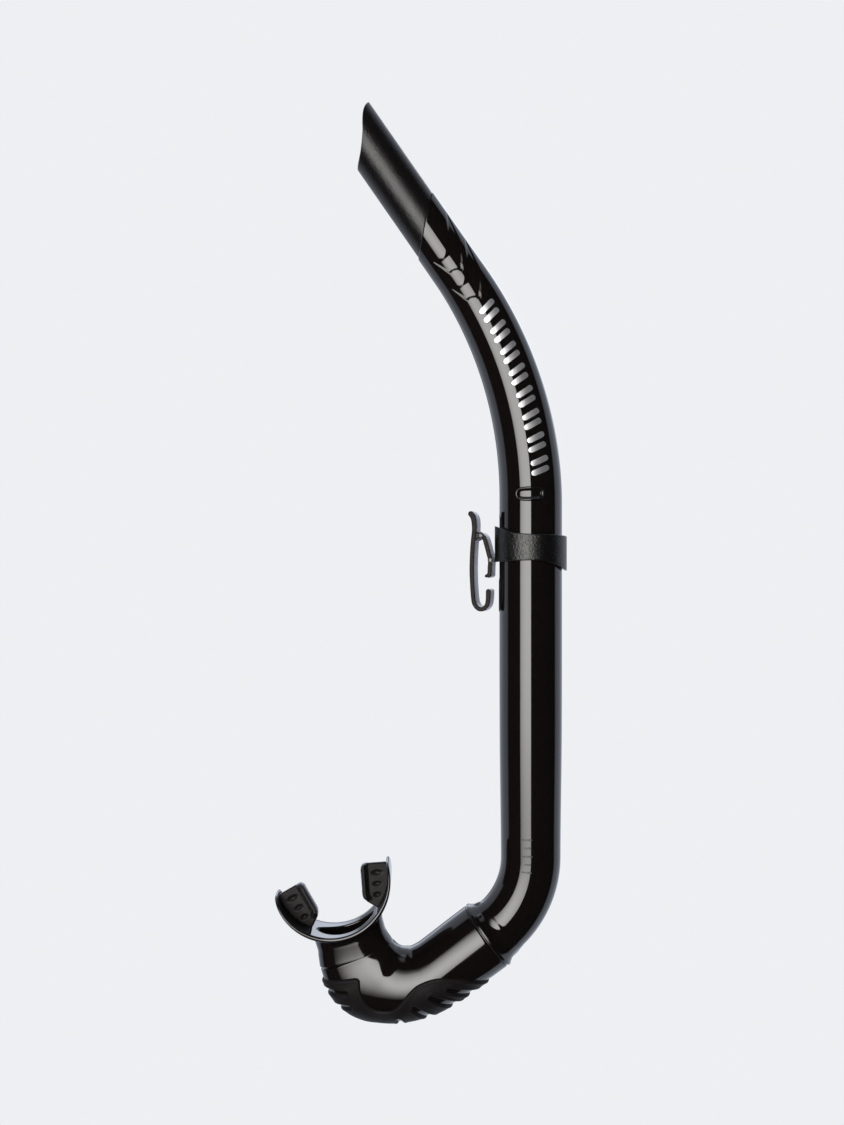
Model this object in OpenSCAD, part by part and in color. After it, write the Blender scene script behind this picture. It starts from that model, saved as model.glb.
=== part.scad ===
// Snorkel tube: a curved two-piece barrel with a slant-cut top, a sliding mask-strap keeper
// with a quick-release clip, and a swivelling soft elbow that carries the mouthpiece.
// Millimetres. +Z runs up the straight part of the barrel, the tube bends in the XZ plane and
// the mouthpiece is on the -X side. The origin is on the barrel's axis inside the keeper band.

/* [Show] */
// which sub-part to draw

/* [Barrel] */
// outside diameter of the straight part
barrel_d = 27.4; // [24:0.1:32]
// inside diameter of the straight part
barrel_bore = 23.6; // [20:0.1:28]
// outside diameter where the upper bend ends
barrel_top_d = 22.3; // [20:0.1:28]
// outside diameter round the lower bend
barrel_low_d = 26.2; // [24:0.1:32]
// inside diameter round the lower bend
barrel_low_bore = 21.2; // [18:0.1:26]
// height above the origin where the upper bend starts
straight_up = 20; // [10:1:60]
// depth below the origin where the lower bend starts
straight_down = 136; // [100:1:180]
// centre-line radius of the upper bend
bend_up_r = 175; // [120:1:260]
// angle of the upper bend
bend_up = 34.8; // [0:0.1:60]
// centre-line radius of the lower bend
bend_low_r = 40.5; // [30:0.5:80]
// angle of the lower bend
bend_low = 53.5; // [0:0.1:80]

/* [Tip] */
// outside diameter of the tip tube
tip_d = 21.1; // [18:0.1:26]
// air bore of the tip tube
tip_bore = 18.1; // [15:0.1:22]
// height of the S-cut mouth on its short side, from the end of the bend
tip_short = 63.6; // [40:0.1:100]
// height of the S-cut mouth on its long side
tip_long = 84.6; // [50:0.1:120]
// height of the slanted seam on its low side
seam_low = 16.1; // [12:0.1:40]
// height of the slanted seam on its high side
seam_high = 36.1; // [20:0.1:60]
// diameter of the tongue that is bonded into the barrel
tongue_d = 19.8; // [18:0.1:24]

/* [Coupling] */
// diameter of the flange at the barrel's lower end
flange_d = 31.7; // [28:0.1:36]
// diameter of the spigot that the elbow turns on
spigot_d = 24.4; // [20:0.1:28]
// length of the spigot below the flange
spigot_len = 14; // [8:0.5:20]
// running gap between the spigot and the sleeve, on the radius
run_gap = 0.05; // [0.02:0.01:0.1]
// height of the snap bead on the spigot
bead_h = 0.5; // [0.2:0.1:1]
// outside diameter of the sleeve inside the elbow
sleeve_d = 27.2; // [25:0.1:30]
// diameter of the thin collar seen in the seam
collar_d = 30.6; // [28:0.1:34]

/* [Elbow] */
// outside diameter at the seam
elbow_d = 31.4; // [28:0.1:36]
// length of the straight part
elbow_straight = 30.4; // [20:0.1:50]
// centre-line radius of the elbow's bend
elbow_r = 21.85; // [18:0.05:40]
// angle of the elbow's bend
elbow_turn = 109.5; // [80:0.5:130]
// half width of the neck across the mouth
neck_w = 15.6; // [12:0.1:20]
// half height of the neck
neck_h = 11; // [8:0.1:16]
// wall of the elbow
elbow_wall = 3.4; // [2:0.1:4]
// thickness of the tread bonded to the underside
grip_t = 1.1; // [0.8:0.05:3]

/* [Mouthpiece] */
// radius of the curved lip shield, outside
shield_r = 25.9; // [22:0.1:32]
// thickness of the lip shield
shield_t = 1.9; // [1.2:0.1:3]
// half height of the lip shield
shield_h = 15; // [10:0.5:20]
// half width and half height of the oval mouth opening
mouth_w = 13.4; // [10:0.1:16]
mouth_h = 8; // [5:0.1:11]
// thickness of a bite tab
tab_t = 3; // [2:0.1:5]
// height of the ridge along a bite tab's inner edge
tab_ridge = 8.4; // [5:0.1:12]

/* [Keeper] */
// outside diameter of the band
band_d = 31.6; // [29:0.1:36]
// wall of the band's inner liner
liner_t = 0.7; // [0.4:0.1:1.2]
// sliding gap between the liner and the barrel, on the radius
slide_gap = 0.05; // [0.02:0.01:0.2]
// how far the clip is turned round the barrel, away from the front
clip_turn = 12; // [0:1:30]
// depth of the clip's strips
clip_depth = 11; // [8:0.5:16]
// thickness of the clip's strips
strip_t = 1.75; // [1.2:0.05:3]
// diameter of the clip's pins
pin_d = 1.2; // [1:0.1:2]
// diameter of the pins' heads
pin_head_d = 2; // [1.6:0.1:3]
// distance of the arm's pin from the barrel's axis
arm_pin_x = 17.05; // [16:0.05:22]
// height of the arm's pin
arm_pin_z = -5.7; // [-12:0.1:12]
// distance of the lever's pin from the barrel's axis
lever_pin_x = 21.35; // [18:0.05:28]
// height of the lever's pin
lever_pin_z = 5.1; // [-12:0.1:12]

/* [Hidden] */
$fn = 96;
FACETS = 48;
GLOSS = [0.05, 0.05, 0.055];
MATTE = [0.16, 0.16, 0.16];
SOFT = [0.09, 0.09, 0.095];
barrel_r = barrel_d / 2;
bore_r = barrel_bore / 2;
top_r = barrel_top_d / 2;
low_r = barrel_low_d / 2;
low_bore_r = barrel_low_bore / 2;
tip_r = tip_d / 2;
tip_bore_r = tip_bore / 2;
tongue_r = tongue_d / 2;
tongue_from = 6;
seam_mid = (seam_low + seam_high) / 2;
seam_slope = atan((seam_high - seam_low) / (2 * (tip_r + 0.35)));
flange_r = flange_d / 2;
spigot_r = spigot_d / 2;
bead_s = 10;
sleeve_r = sleeve_d / 2;
elbow_rad = elbow_d / 2;
seam_gap = 0.15;
collar_t = 0.7;
rim_s = seam_gap + collar_t;
seal_s = 5.2;
seal_w = 2;
lower_tail = 3.15;
bend_end = elbow_straight + elbow_r * elbow_turn * PI / 180;
cuff_s = bend_end - 1.8;
lip_end = cuff_s + 4.5;
round_part = 8;
shield_c = 8.2 + shield_r;
tab_root = shield_r - shield_t - 0.05;
band_r = band_d / 2;
liner_in = barrel_r + slide_gap;
liner_out = liner_in + liner_t;
pad_turn = 8;
pad_half = 8;
pad_depth = 0.8;
pad_top = 15;
pad_low = -28.4;
pad_step = -14;
lug_z = 22.8;
lug_turn = 5.9;
lug_len = 12.9;
lug_wid = 6.3;
knuckle_r = arm_pin_x - band_r - 0.05;
ear_r = 1.3;
ear_in = 2.95;
knuckle_y = 2.9;
half_depth = clip_depth / 2;

// ---------- frames ----------
module at_upper() {
    translate([-bend_up_r * (1 - cos(bend_up)), 0, straight_up + bend_up_r * sin(bend_up)])
        rotate([0, -bend_up, 0])
            children();
}

module at_lower() {
    translate([-bend_low_r * (1 - cos(bend_low)), 0, -straight_down - bend_low_r * sin(bend_low)])
        rotate([0, 180 + bend_low, 0])
            translate([0, 0, lower_tail])
                children();
}

module at_mouth() {
    at_lower()
        translate([elbow_r * (1 - cos(elbow_turn)), 0, elbow_straight + elbow_r * sin(elbow_turn)])
            rotate([0, elbow_turn, 0])
                children();
}

module at_clip() {
    rotate([0, 0, 180 - clip_turn])
        children();
}

// ---------- helpers ----------
// joins skinned surfaces into one body at their own size
module baked() {
    resize([0, 0, 0])
        children();
}

// closed skin over a list of rings, each ring turning the right-hand way about the path
module skin(rings) {
    n = len(rings[0]);
    m = len(rings);
    points = [for (r = rings) each r];
    sides = [
        for (i = [0 : m - 2], j = [0 : n - 1])
            [i * n + j, (i + 1) * n + j, (i + 1) * n + (j + 1) % n, i * n + (j + 1) % n]
    ];
    tris = [for (q = sides) each [[q[0], q[1], q[2]], [q[0], q[2], q[3]]]];
    low = [for (j = [0 : n - 1]) j];
    high = [for (j = [n - 1 : -1 : 0]) (m - 1) * n + j];
    polyhedron(points, concat(tris, [low], [high]), convexity = 8);
}

// the upper bend: a ring of radius r at angle a
function up_ring(a, r) = [
    for (j = [0 : FACETS - 1])
        let (t = 360 * j / FACETS)
            [
                -bend_up_r + (bend_up_r + r * cos(t)) * cos(a),
                r * sin(t),
                straight_up + (bend_up_r + r * cos(t)) * sin(a)
            ]
];

// radius round the upper bend, slow at first and then faster towards the tip
function up_radius(a, r0, r1) = r0 + (r1 - r0) * pow(a / bend_up, 1.35);

// the bend's skin, run on a little way into the straight parts at both ends
module upper_bend(r0, r1, lap) {
    skin(concat(
        [[for (p = up_ring(0, r0)) p - [0, 0, lap]]],
        [for (i = [0 : 14]) up_ring(bend_up * i / 14, up_radius(bend_up * i / 14, r0, r1))],
        [[for (p = up_ring(bend_up, r1)) p + lap * [-sin(bend_up), 0, cos(bend_up)]]]
    ));
}

// elbow centre line: angle, and a ring at distance s from the seam
function turn_at(s) = max(0, min(elbow_turn, (s - elbow_straight) / elbow_r * 180 / PI));
function over(s) = max(0, s - bend_end);
// outside of the elbow at s: half width on the outer and on the inner side of the bend, half height
function out_w(s) = lookup(s, [[0, elbow_rad], [8, elbow_rad], [14, 15.3], [26, 15.1], [32, 14.4], [38, 14.1],
    [42, 14.5], [46, 15.3], [50, 16.3], [54, 17.8], [58, 18.5], [62, 18.4], [66, 17.7], [bend_end - 2, neck_w + 1.1],
    [bend_end + 3, neck_w + 0.3], [bend_end + 5.5, neck_w - 0.2], [bend_end + 9, neck_w - 0.1],
    [bend_end + 16, neck_w + 3.4]]);
function in_w(s) = lookup(s, [[0, elbow_rad], [10, elbow_rad - 0.1], [26, 15.3], [30, 15.8], [36, 16.7],
    [44, 17.2], [52, 17.6], [60, 17.7], [66, 17.5], [bend_end, neck_w + 1.4], [bend_end + 3, neck_w + 0.5],
    [bend_end + 6, neck_w], [bend_end + 9, neck_w + 0.1], [bend_end + 16, neck_w + 3.7]]);
function half_h(s) = lookup(s, [[0, elbow_rad], [elbow_straight, elbow_rad], [44, 14.9], [56, 13.4],
    [bend_end, neck_h], [bend_end + 5, neck_h + 0.2], [bend_end + 9, neck_h + 1.6], [bend_end + 16, neck_h + 4]]);
// the same three sizes for the air way
function bore_out(s) = lookup(s, [[0, elbow_rad - elbow_wall], [28, elbow_rad - elbow_wall], [38, 11.8],
    [46, 12.6], [54, 14.4], [60, 15], [66, 14.4], [bend_end, mouth_w], [bend_end + 30, mouth_w]]);
function bore_in(s) = lookup(s, [[0, elbow_rad - elbow_wall], [elbow_straight, elbow_rad - elbow_wall],
    [44, 14], [56, 14.4], [bend_end, mouth_w], [bend_end + 30, mouth_w]]);
function bore_h(s) = lookup(s, [[0, elbow_rad - elbow_wall], [elbow_straight, elbow_rad - elbow_wall],
    [44, 12.2], [56, 10.9], [bend_end, mouth_h + 0.6], [bend_end + 8, mouth_h], [bend_end + 30, mouth_h]]);

// ring at distance s: wo and wi are its half widths on the outer and inner side, h its half height
function oval_ring(s, wo, wi, h) = [
    for (j = [0 : FACETS - 1])
        let (t = 360 * j / FACETS, w = cos(t) < 0 ? wo : wi, a = turn_at(s),
            d = over(s) + min(0, s - elbow_straight))
            [
                elbow_r * (1 - cos(a)) + d * sin(a) + w * cos(t) * cos(a),
                h * sin(t),
                elbow_straight + elbow_r * sin(a) + d * cos(a) - w * cos(t) * sin(a)
            ]
];

// the elbow's outside from s0 to s1, grown by g
module elbow_outside(s0, s1, g, steps) {
    skin([for (i = [0 : steps]) let (s = s0 + (s1 - s0) * i / steps)
        oval_ring(s, out_w(s) + g, in_w(s) + g, half_h(s) + g)]);
}

module elbow_inside(s0, s1, steps) {
    skin([for (i = [0 : steps]) let (s = s0 + (s1 - s0) * i / steps)
        oval_ring(s, bore_out(s), bore_in(s), bore_h(s))]);
}

// smooth curve through a short list of design points
function curve_point(p, i, t) =
    let (
        a = p[max(0, i - 1)],
        b = p[i],
        c = p[i + 1],
        d = p[min(len(p) - 1, i + 2)]
    )
    0.5 * (2 * b + (c - a) * t + (2 * a - 5 * b + 4 * c - d) * t * t + (3 * b - a - 3 * c + d) * t * t * t);
function curve(p, k) = concat(
    [for (i = [0 : len(p) - 2], j = [0 : k - 1]) curve_point(p, i, j / k)],
    [p[len(p) - 1]]
);
function unit(v) = v / norm(v);
function side_of(p, i) =
    let (d = unit(p[min(len(p) - 1, i + 1)] - p[max(0, i - 1)]))
    [-d[1], d[0]];
function strip_outline(p, t) = concat(
    [for (i = [0 : len(p) - 1]) p[i] + side_of(p, i) * t / 2],
    [for (i = [len(p) - 1 : -1 : 0]) p[i] - side_of(p, i) * t / 2]
);

// flat profile in the clip's radial plane, standing from y0 to y1 (y towards the front)
module clip_plate(y0, y1) {
    translate([0, y1, 0])
        rotate([90, 0, 0])
            linear_extrude(y1 - y0)
                children();
}

module clip_cyl(x, z, r, y0, y1) {
    translate([x, y1, z])
        rotate([90, 0, 0])
            cylinder(r = r, h = y1 - y0);
}

// long round-ended bar
function pill_points(len, wid) = [
    for (i = [0 : 25])
        let (t = -90 + 180 * (i % 13) / 12 + (i > 12 ? 180 : 0), side = i > 12 ? -1 : 1)
            [side * (len - wid) / 2 + wid / 2 * cos(t), wid / 2 * sin(t)]
];
module pill(len, wid, h) {
    linear_extrude(h)
        polygon(pill_points(len, wid));
}

module tube(r_out, r_in, z0, z1) {
    translate([0, 0, z0])
        difference() {
            cylinder(r = r_out, h = z1 - z0);
            translate([0, 0, -1])
                cylinder(r = r_in, h = z1 - z0 + 2);
        }
}

// everything above the slanted seam, in the upper frame
module above_seam(lift = 0) {
    translate([0, 0, seam_mid + lift])
        rotate([0, -seam_slope, 0])
            translate([-60, -60, 0])
                cube([120, 120, 120]);
}

// everything beyond the S-cut mouth, in the upper frame
function mouth_line(x) =
    let (u = x / tip_r)
    (tip_short + tip_long) / 2 + u * (tip_long - tip_short) / 2 + (u > 0 ? 1.9 : 0.9) * sin(180 * u);
module beyond_mouth() {
    translate([0, 30, 0])
        rotate([90, 0, 0])
            linear_extrude(60)
                polygon(concat(
                    [for (i = [0 : 24]) let (x = tip_r * (i / 12 - 1)) [x, mouth_line(x)]],
                    [[30, tip_long + 12], [30, 140], [-30, 140], [-30, tip_short - 12]]
                ));
}

// ---------- barrel ----------
module lower_flare() {
    rotate_extrude()
        difference() {
            translate([0, -7])
                square([flange_r, 7]);
            translate([low_r + 10.05, -8])
                circle(r = 10.3);
        }
}

module barrel_outside() {
    translate([0, 0, -80])
        cylinder(r = barrel_r, h = 80.15 + straight_up);
    translate([0, 0, -straight_down])
        cylinder(r1 = low_r, r2 = barrel_r, h = straight_down - 80);
    translate([-bend_low_r, 0, -straight_down])
        rotate([-90, 0, 0])
            rotate_extrude(angle = bend_low)
                translate([bend_low_r, 0])
                    circle(r = low_r);
    at_lower()
        lower_flare();
    at_lower()
        cylinder(r = spigot_r, h = spigot_len);
    at_upper()
        difference() {
            translate([0, 0, -0.15])
                cylinder(r1 = top_r, r2 = tip_r + 0.45, h = seam_high + 4.15);
            above_seam();
        }
}

module barrel_inside() {
    translate([0, 0, -80])
        cylinder(r = bore_r, h = 80.3 + straight_up);
    translate([0, 0, -straight_down])
        cylinder(r1 = low_bore_r, r2 = bore_r, h = straight_down - 80);
    translate([-bend_low_r, 0, -straight_down])
        rotate([-90, 0, 0])
            rotate_extrude(angle = bend_low)
                translate([bend_low_r, 0])
                    circle(r = low_bore_r);
    at_lower()
        translate([0, 0, -lower_tail - 0.3])
            cylinder(r = low_bore_r + 0.2, h = lower_tail + spigot_len + 1);
    at_upper()
        translate([0, 0, -0.3])
            cylinder(r = tip_bore_r, h = seam_high + 20);
    at_upper()
        translate([0, 0, tongue_from])
            cylinder(r = tongue_r, h = seam_high + 20);
}

module pad_prism() {
    translate([0, 0, (pad_top + pad_low) / 2])
        rotate([0, -90, 0])
            pill(pad_top - pad_low, 2 * pad_half, 30);
}

module pad_pocket() {
    rotate([0, 0, -pad_turn])
        intersection() {
            tube(barrel_r + 3, barrel_r - pad_depth, -40, 40);
            pad_prism();
        }
}

module pad_shape() {
    rotate([0, 0, -pad_turn])
        intersection() {
            union() {
                tube(barrel_r, barrel_r - pad_depth, pad_step, 40);
                tube(barrel_r + 0.3, barrel_r - pad_depth, -40, pad_step);
            }
            pad_prism();
        }
}

module front_lug() {
    rotate([0, 0, -lug_turn])
    translate([0, 0, lug_z])
        rotate([90, 0, 0])
            difference() {
                translate([0, 0, bore_r - 1])
                    pill(lug_len, lug_wid, barrel_r - bore_r + 1.75);
                translate([0, 0, barrel_r + 0.3])
                    pill(lug_len - 3.2, lug_wid - 3.2, 2);
                translate([0, lug_wid, 0])
                    rotate([90, 0, 0])
                        cylinder(r = bore_r + 0.4, h = 2 * lug_wid);
            }
}

module flare_bump(side) {
    at_lower()
        translate([0, 0, -5.2])
            rotate([0, side * 90, 0])
                cylinder(r = 2.3, h = low_r + 0.8);
}

module barrel() {
    color(GLOSS)
        difference() {
            union() {
                baked()
                    difference() {
                        upper_bend(barrel_r - 0.015, top_r - 0.03, 0.3);
                        upper_bend(bore_r + 0.05, tip_bore_r + 0.05, 0.6);
                    }
                barrel_outside();
                front_lug();
                flare_bump(1);
                flare_bump(-1);
                at_lower()
                    rotate_extrude()
                        translate([spigot_r, bead_s])
                            circle(r = bead_h, $fn = 24);
            }
            barrel_inside();
            pad_pocket();
            at_lower()
                tube(spigot_r + 1, spigot_r - 0.8, seal_s, seal_s + seal_w);
        }
}

module slide_pad() {
    color(MATTE)
        pad_shape();
}

module tip_tube() {
    color(MATTE)
        at_upper()
            difference() {
                union() {
                    intersection() {
                        translate([0, 0, 10])
                            cylinder(r = tip_r, h = 90);
                        above_seam();
                    }
                    translate([0, 0, tongue_from])
                        cylinder(r = tongue_r, h = seam_mid);
                }
                translate([0, 0, -1])
                    cylinder(r = tip_bore_r, h = 120);
                beyond_mouth();
            }
}

// ---------- coupling ----------
module spigot_seal() {
    color(SOFT)
        at_lower()
            tube(spigot_r + 0.02, spigot_r - 0.8, seal_s, seal_s + seal_w);
}

module coupling_sleeve() {
    color(GLOSS)
        at_lower()
            difference() {
                union() {
                    tube(sleeve_r, spigot_r + run_gap, rim_s - 0.2, spigot_len + 0.4);
                    tube(collar_d / 2, spigot_r + run_gap, seam_gap, rim_s);
                }
                rotate_extrude()
                    translate([spigot_r, bead_s])
                        circle(r = bead_h + 0.06, $fn = 24);
            }
}

// ---------- elbow ----------
module elbow() {
    color(GLOSS)
        at_lower()
            difference() {
                union() {
                    translate([0, 0, rim_s])
                        cylinder(r = elbow_rad, h = round_part - rim_s);
                    baked()
                        difference() {
                            union() {
                                elbow_outside(round_part - 0.4, cuff_s, -0.015, 32);
                                elbow_outside(cuff_s - 1, lip_end, -1.1, 6);
                            }
                            elbow_inside(round_part - 1, lip_end + 0.2, 32);
                        }
                }
                translate([0, 0, -1])
                    cylinder(r = sleeve_r, h = spigot_len + 1.4);
                translate([0, 0, 0])
                    cylinder(r = elbow_rad - elbow_wall - 0.05, h = elbow_straight + 0.01);
            }
}

// the tread's wavy edge seen from the front, in the lower frame
WAVE = [
    [-15.8, 10.6], [-6.6, 17.8], [0.6, 25.9], [3.5, 33.4], [3.6, 39.3], [1.3, 48.1], [1.7, 52.9], [5.4, 57.4],
    [10.3, 58.5], [15.7, 57.2], [20.4, 54.9], [23.4, 59.7], [26.2, 65.8], [28.6, 69.6]
];
module grip_zone() {
    translate([0, 40, 0])
        rotate([90, 0, 0])
            linear_extrude(80)
                polygon(concat(curve(WAVE, 4), [[34, 80], [0, 86], [-36, 62], [-34, 9]]));
}

// one open slot of the tread: a round-ended bar across the underside, from its closed end outwards
module grip_slot(x, s, turn, wid) {
    translate([x, 40, s])
        rotate([90, 0, 0])
            rotate([0, 0, turn])
                translate([7, 0, 0])
                    pill(14 + wid, wid, 80);
}

module elbow_grip() {
    color(MATTE)
        at_lower()
            baked() difference() {
                intersection() {
                    elbow_outside(round_part + 0.6, cuff_s - 0.8, grip_t, 26);
                    grip_zone();
                }
                elbow_outside(round_part - 0.4, cuff_s, 0.04, 32);
                grip_slot(-6.1, 26, -143, 1.9);
                grip_slot(-4.2, 34.2, -150, 1.9);
                grip_slot(-3.7, 42.8, -165, 1.9);
                grip_slot(-4.7, 52, 170, 1.7);
                grip_slot(12.2, 65.3, 62, 1.3);
                grip_slot(18.3, 63, 54, 1.3);
            }
}

// ---------- mouthpiece ----------
module shield_mask() {
    rotate([90, 0, 90])
        translate([0, 0, -40])
            linear_extrude(80)
                polygon(concat(
                    [for (i = [0 : 24]) let (t = 180 * i / 24)
                        [shield_h * cos(t), shield_c - 13 + 13.3 * sin(t)]],
                    [[-shield_h, 4], [shield_h, 4]]
                ));
}

module mouthpiece() {
    color(GLOSS)
        baked() difference() {
            union() {
                at_mouth()
                    intersection() {
                        translate([0, 20, shield_c])
                            rotate([90, 0, 0])
                                difference() {
                                    cylinder(r = shield_r, h = 40);
                                    translate([0, 0, -1])
                                        cylinder(r = shield_r - shield_t, h = 42);
                                }
                        shield_mask();
                    }
                at_lower()
                    difference() {
                        elbow_outside(cuff_s + 0.04, bend_end + 15.8, 0, 14);
                        elbow_outside(cuff_s - 1, lip_end + 0.04, -1.06, 6);
                        translate([elbow_r * (1 - cos(elbow_turn)), 0, elbow_straight + elbow_r * sin(elbow_turn)])
                            rotate([0, elbow_turn, 0])
                                translate([0, 21, shield_c])
                                    rotate([90, 0, 0])
                                        cylinder(r = shield_r - 0.6 * shield_t, h = 42);
                    }
            }
            at_lower()
                elbow_inside(cuff_s - 1, bend_end + 20, 14);
        }
}

// one bite tab on the +X side of the mouth frame: a plate with a ridge and three grip dimples
module bite_tab_side() {
    difference() {
        union() {
            intersection() {
                translate([0, tab_t / 2, 0])
                    rotate([90, 0, 0])
                        linear_extrude(tab_t)
                            polygon([
                                [30, shield_c - 0.6], [24, shield_c - 0.6], [14.5, shield_c + 1.6],
                                [13, shield_c + 0.4], [10.1, shield_c - 12], [10.9, shield_c - 14.6],
                                [15, shield_c - 19], [30, shield_c - 19]
                            ]);
                translate([0, 20, shield_c])
                    rotate([90, 0, 0])
                        cylinder(r = tab_root, h = 40);
            }
            translate([11.5, 0, shield_c - 6])
                rotate([0, 13, 0])
                    translate([-0.4, 0, 0])
                        rotate([0, 90, 0])
                            rotate([0, 0, 90])
                                translate([0, 0, -0.9])
                                    intersection() {
                                        cylinder(r = 7.6, h = 1.9);
                                        translate([-tab_ridge / 2, -6, 0])
                                            cube([tab_ridge, 12.2, 1.9]);
                                    }
        }
        for (side = [-1, 1], k = [0 : 2])
            translate([19.2 - 1.2 * k, side * (tab_t / 2 + 1.6), shield_c - 4 - 4.65 * k])
                rotate([0, 12, 0])
                    rotate([90, 0, 0])
                        translate([0, 0, -1.9])
                            pill(5.6 - 0.7 * k, 2.7, 3.8);
    }
}

module bite_tab_right() {
    color(MATTE)
        at_mouth()
            bite_tab_side();
}

module bite_tab_left() {
    color(MATTE)
        at_mouth()
            mirror([1, 0, 0])
                bite_tab_side();
}

// ---------- keeper ----------
function band_top(x) = 5.6 + (x < 0 ? 2.8 * pow(-x / band_r, 2.6) : -0.8 * pow(x / band_r, 2));
function band_low(x) = -5.9 - (x < 0 ? 0.7 * pow(-x / band_r, 2) : 4.7 * pow(x / band_r, 2.2));
module band_zone(cut) {
    translate([0, 30, 0])
        rotate([90, 0, 0])
            linear_extrude(60)
                polygon(concat(
                    [for (i = [-12 : 12]) let (x = (band_r + 0.4) * i / 12) [x, band_low(x) + cut]],
                    [for (i = [12 : -1 : -12]) let (x = (band_r + 0.4) * i / 12) [x, band_top(x) - cut]]
                ));
}

module keeper_band() {
    color(MATTE)
        difference() {
            union() {
                intersection() {
                    tube(band_r, liner_out, -20, 20);
                    band_zone(0);
                }
                at_clip()
                    clip_cyl(arm_pin_x, arm_pin_z, knuckle_r, -knuckle_y, knuckle_y);
                at_clip()
                    translate([band_r - 1.2, -knuckle_y, arm_pin_z - 0.9])
                        cube([arm_pin_x - band_r + 1.2, 2 * knuckle_y, 1.9]);
            }
            translate([0, 0, -20])
                cylinder(r = liner_out, h = 40);
            at_clip()
                clip_cyl(arm_pin_x, arm_pin_z, pin_d / 2, -10, 10);
        }
}

module keeper_liner() {
    color(SOFT)
        intersection() {
            tube(liner_out, liner_in, -20, 20);
            band_zone(0.5);
        }
}

// centre lines of the clip's strips: distance from the barrel's axis, height
ARM_LINE = [
    [21.5, 5.4], [20, 4.3], [18.9, 0.8], [17.9, -3], [arm_pin_x + 0.1, arm_pin_z], [17.4, -9],
    [17.45, -12.6]
];
LEVER_LINE = [
    [25.4, 14.3], [24.5, 12], [24.3, 7.5], [25.0, 0.9], [25.4, -7.9], [25.3, -14.5], [24.8, -22],
    [24.1, -25.2], [22.4, -27.1], [20.4, -27.2], [18.8, -25.8], [18.2, -23.3], [18.0, -19.6]
];

module clip_arm() {
    color(MATTE)
        at_clip()
            difference() {
                union() {
                    clip_plate(-half_depth, half_depth)
                        polygon(strip_outline(curve(ARM_LINE, 6), strip_t));
                    clip_plate(-half_depth, half_depth)
                        polygon([[17.2, -11.6], [19.4, -12], [19.8, -12.8], [19.4, -13.4], [16.8, -13.5]]);
                    clip_cyl(arm_pin_x, arm_pin_z, knuckle_r, -half_depth, half_depth);
                    clip_cyl(lever_pin_x, lever_pin_z, ear_r, -half_depth, half_depth);
                }
                for (side = [-1, 1])
                    clip_cyl(lever_pin_x, lever_pin_z, ear_r + 0.15,
                        side < 0 ? -half_depth - 1 : knuckle_y, side < 0 ? -knuckle_y : half_depth + 1);
                clip_cyl(arm_pin_x, arm_pin_z, knuckle_r + 0.25, -ear_in, ear_in);
                clip_cyl(arm_pin_x, arm_pin_z, pin_d / 2 + run_gap, -10, 10);
                clip_cyl(lever_pin_x, lever_pin_z, pin_d / 2, -10, 10);
                rotate([0, 0, -180 + clip_turn])
                    translate([0, 0, -20])
                        cylinder(r = band_r + 0.05, h = 40);
            }
}

module clip_lever() {
    color(MATTE)
        at_clip()
            difference() {
                union() {
                    clip_plate(-half_depth, half_depth)
                        polygon(strip_outline(curve(LEVER_LINE, 6), strip_t));
                    clip_cyl(LEVER_LINE[0][0], LEVER_LINE[0][1], 1.1, -half_depth, half_depth);
                    for (side = [-1, 1])
                        clip_plate(side < 0 ? -half_depth : ear_in, side < 0 ? -ear_in : half_depth)
                            polygon([
                                [lever_pin_x - 0.2, lever_pin_z + ear_r - 0.05], [24, 7], [24.3, 3],
                                [lever_pin_x - 0.2, lever_pin_z - ear_r + 0.05]
                            ]);
                    for (side = [-1, 1])
                        clip_cyl(lever_pin_x, lever_pin_z, ear_r,
                            side < 0 ? -half_depth : ear_in, side < 0 ? -ear_in : half_depth);
                }
                clip_plate(-10, 10)
                    polygon([[22.75, 5.3], [23.4, 5.7], [23.5, 4.2], [22.75, 4.7]]);
                clip_cyl(lever_pin_x, lever_pin_z, pin_d / 2 + run_gap, -10, 10);
            }
}

module clip_pin(x, z) {
    at_clip() {
        clip_cyl(x, z, pin_d / 2, -half_depth - 0.3, half_depth + 0.3);
        clip_cyl(x, z, pin_head_d / 2, half_depth + 0.05, half_depth + 0.45);
        clip_cyl(x, z, pin_head_d / 2, -half_depth - 0.45, -half_depth - 0.05);
    }
}

module lever_pin() {
    color(MATTE)
        clip_pin(lever_pin_x, lever_pin_z);
}

module arm_pin() {
    color(MATTE)
        clip_pin(arm_pin_x, arm_pin_z);
}

barrel();
tip_tube();
slide_pad();
spigot_seal();
coupling_sleeve();
elbow();
elbow_grip();
mouthpiece();
bite_tab_left();
bite_tab_right();
keeper_band();
keeper_liner();
clip_arm();
clip_lever();
lever_pin();
arm_pin();
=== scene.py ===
"""Snorkel tube: the visible pieces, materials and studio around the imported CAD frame.

Lengths in the shape code are millimetres. The tube bends in the XZ plane and the camera looks along +Y.
"""

import math

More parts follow.
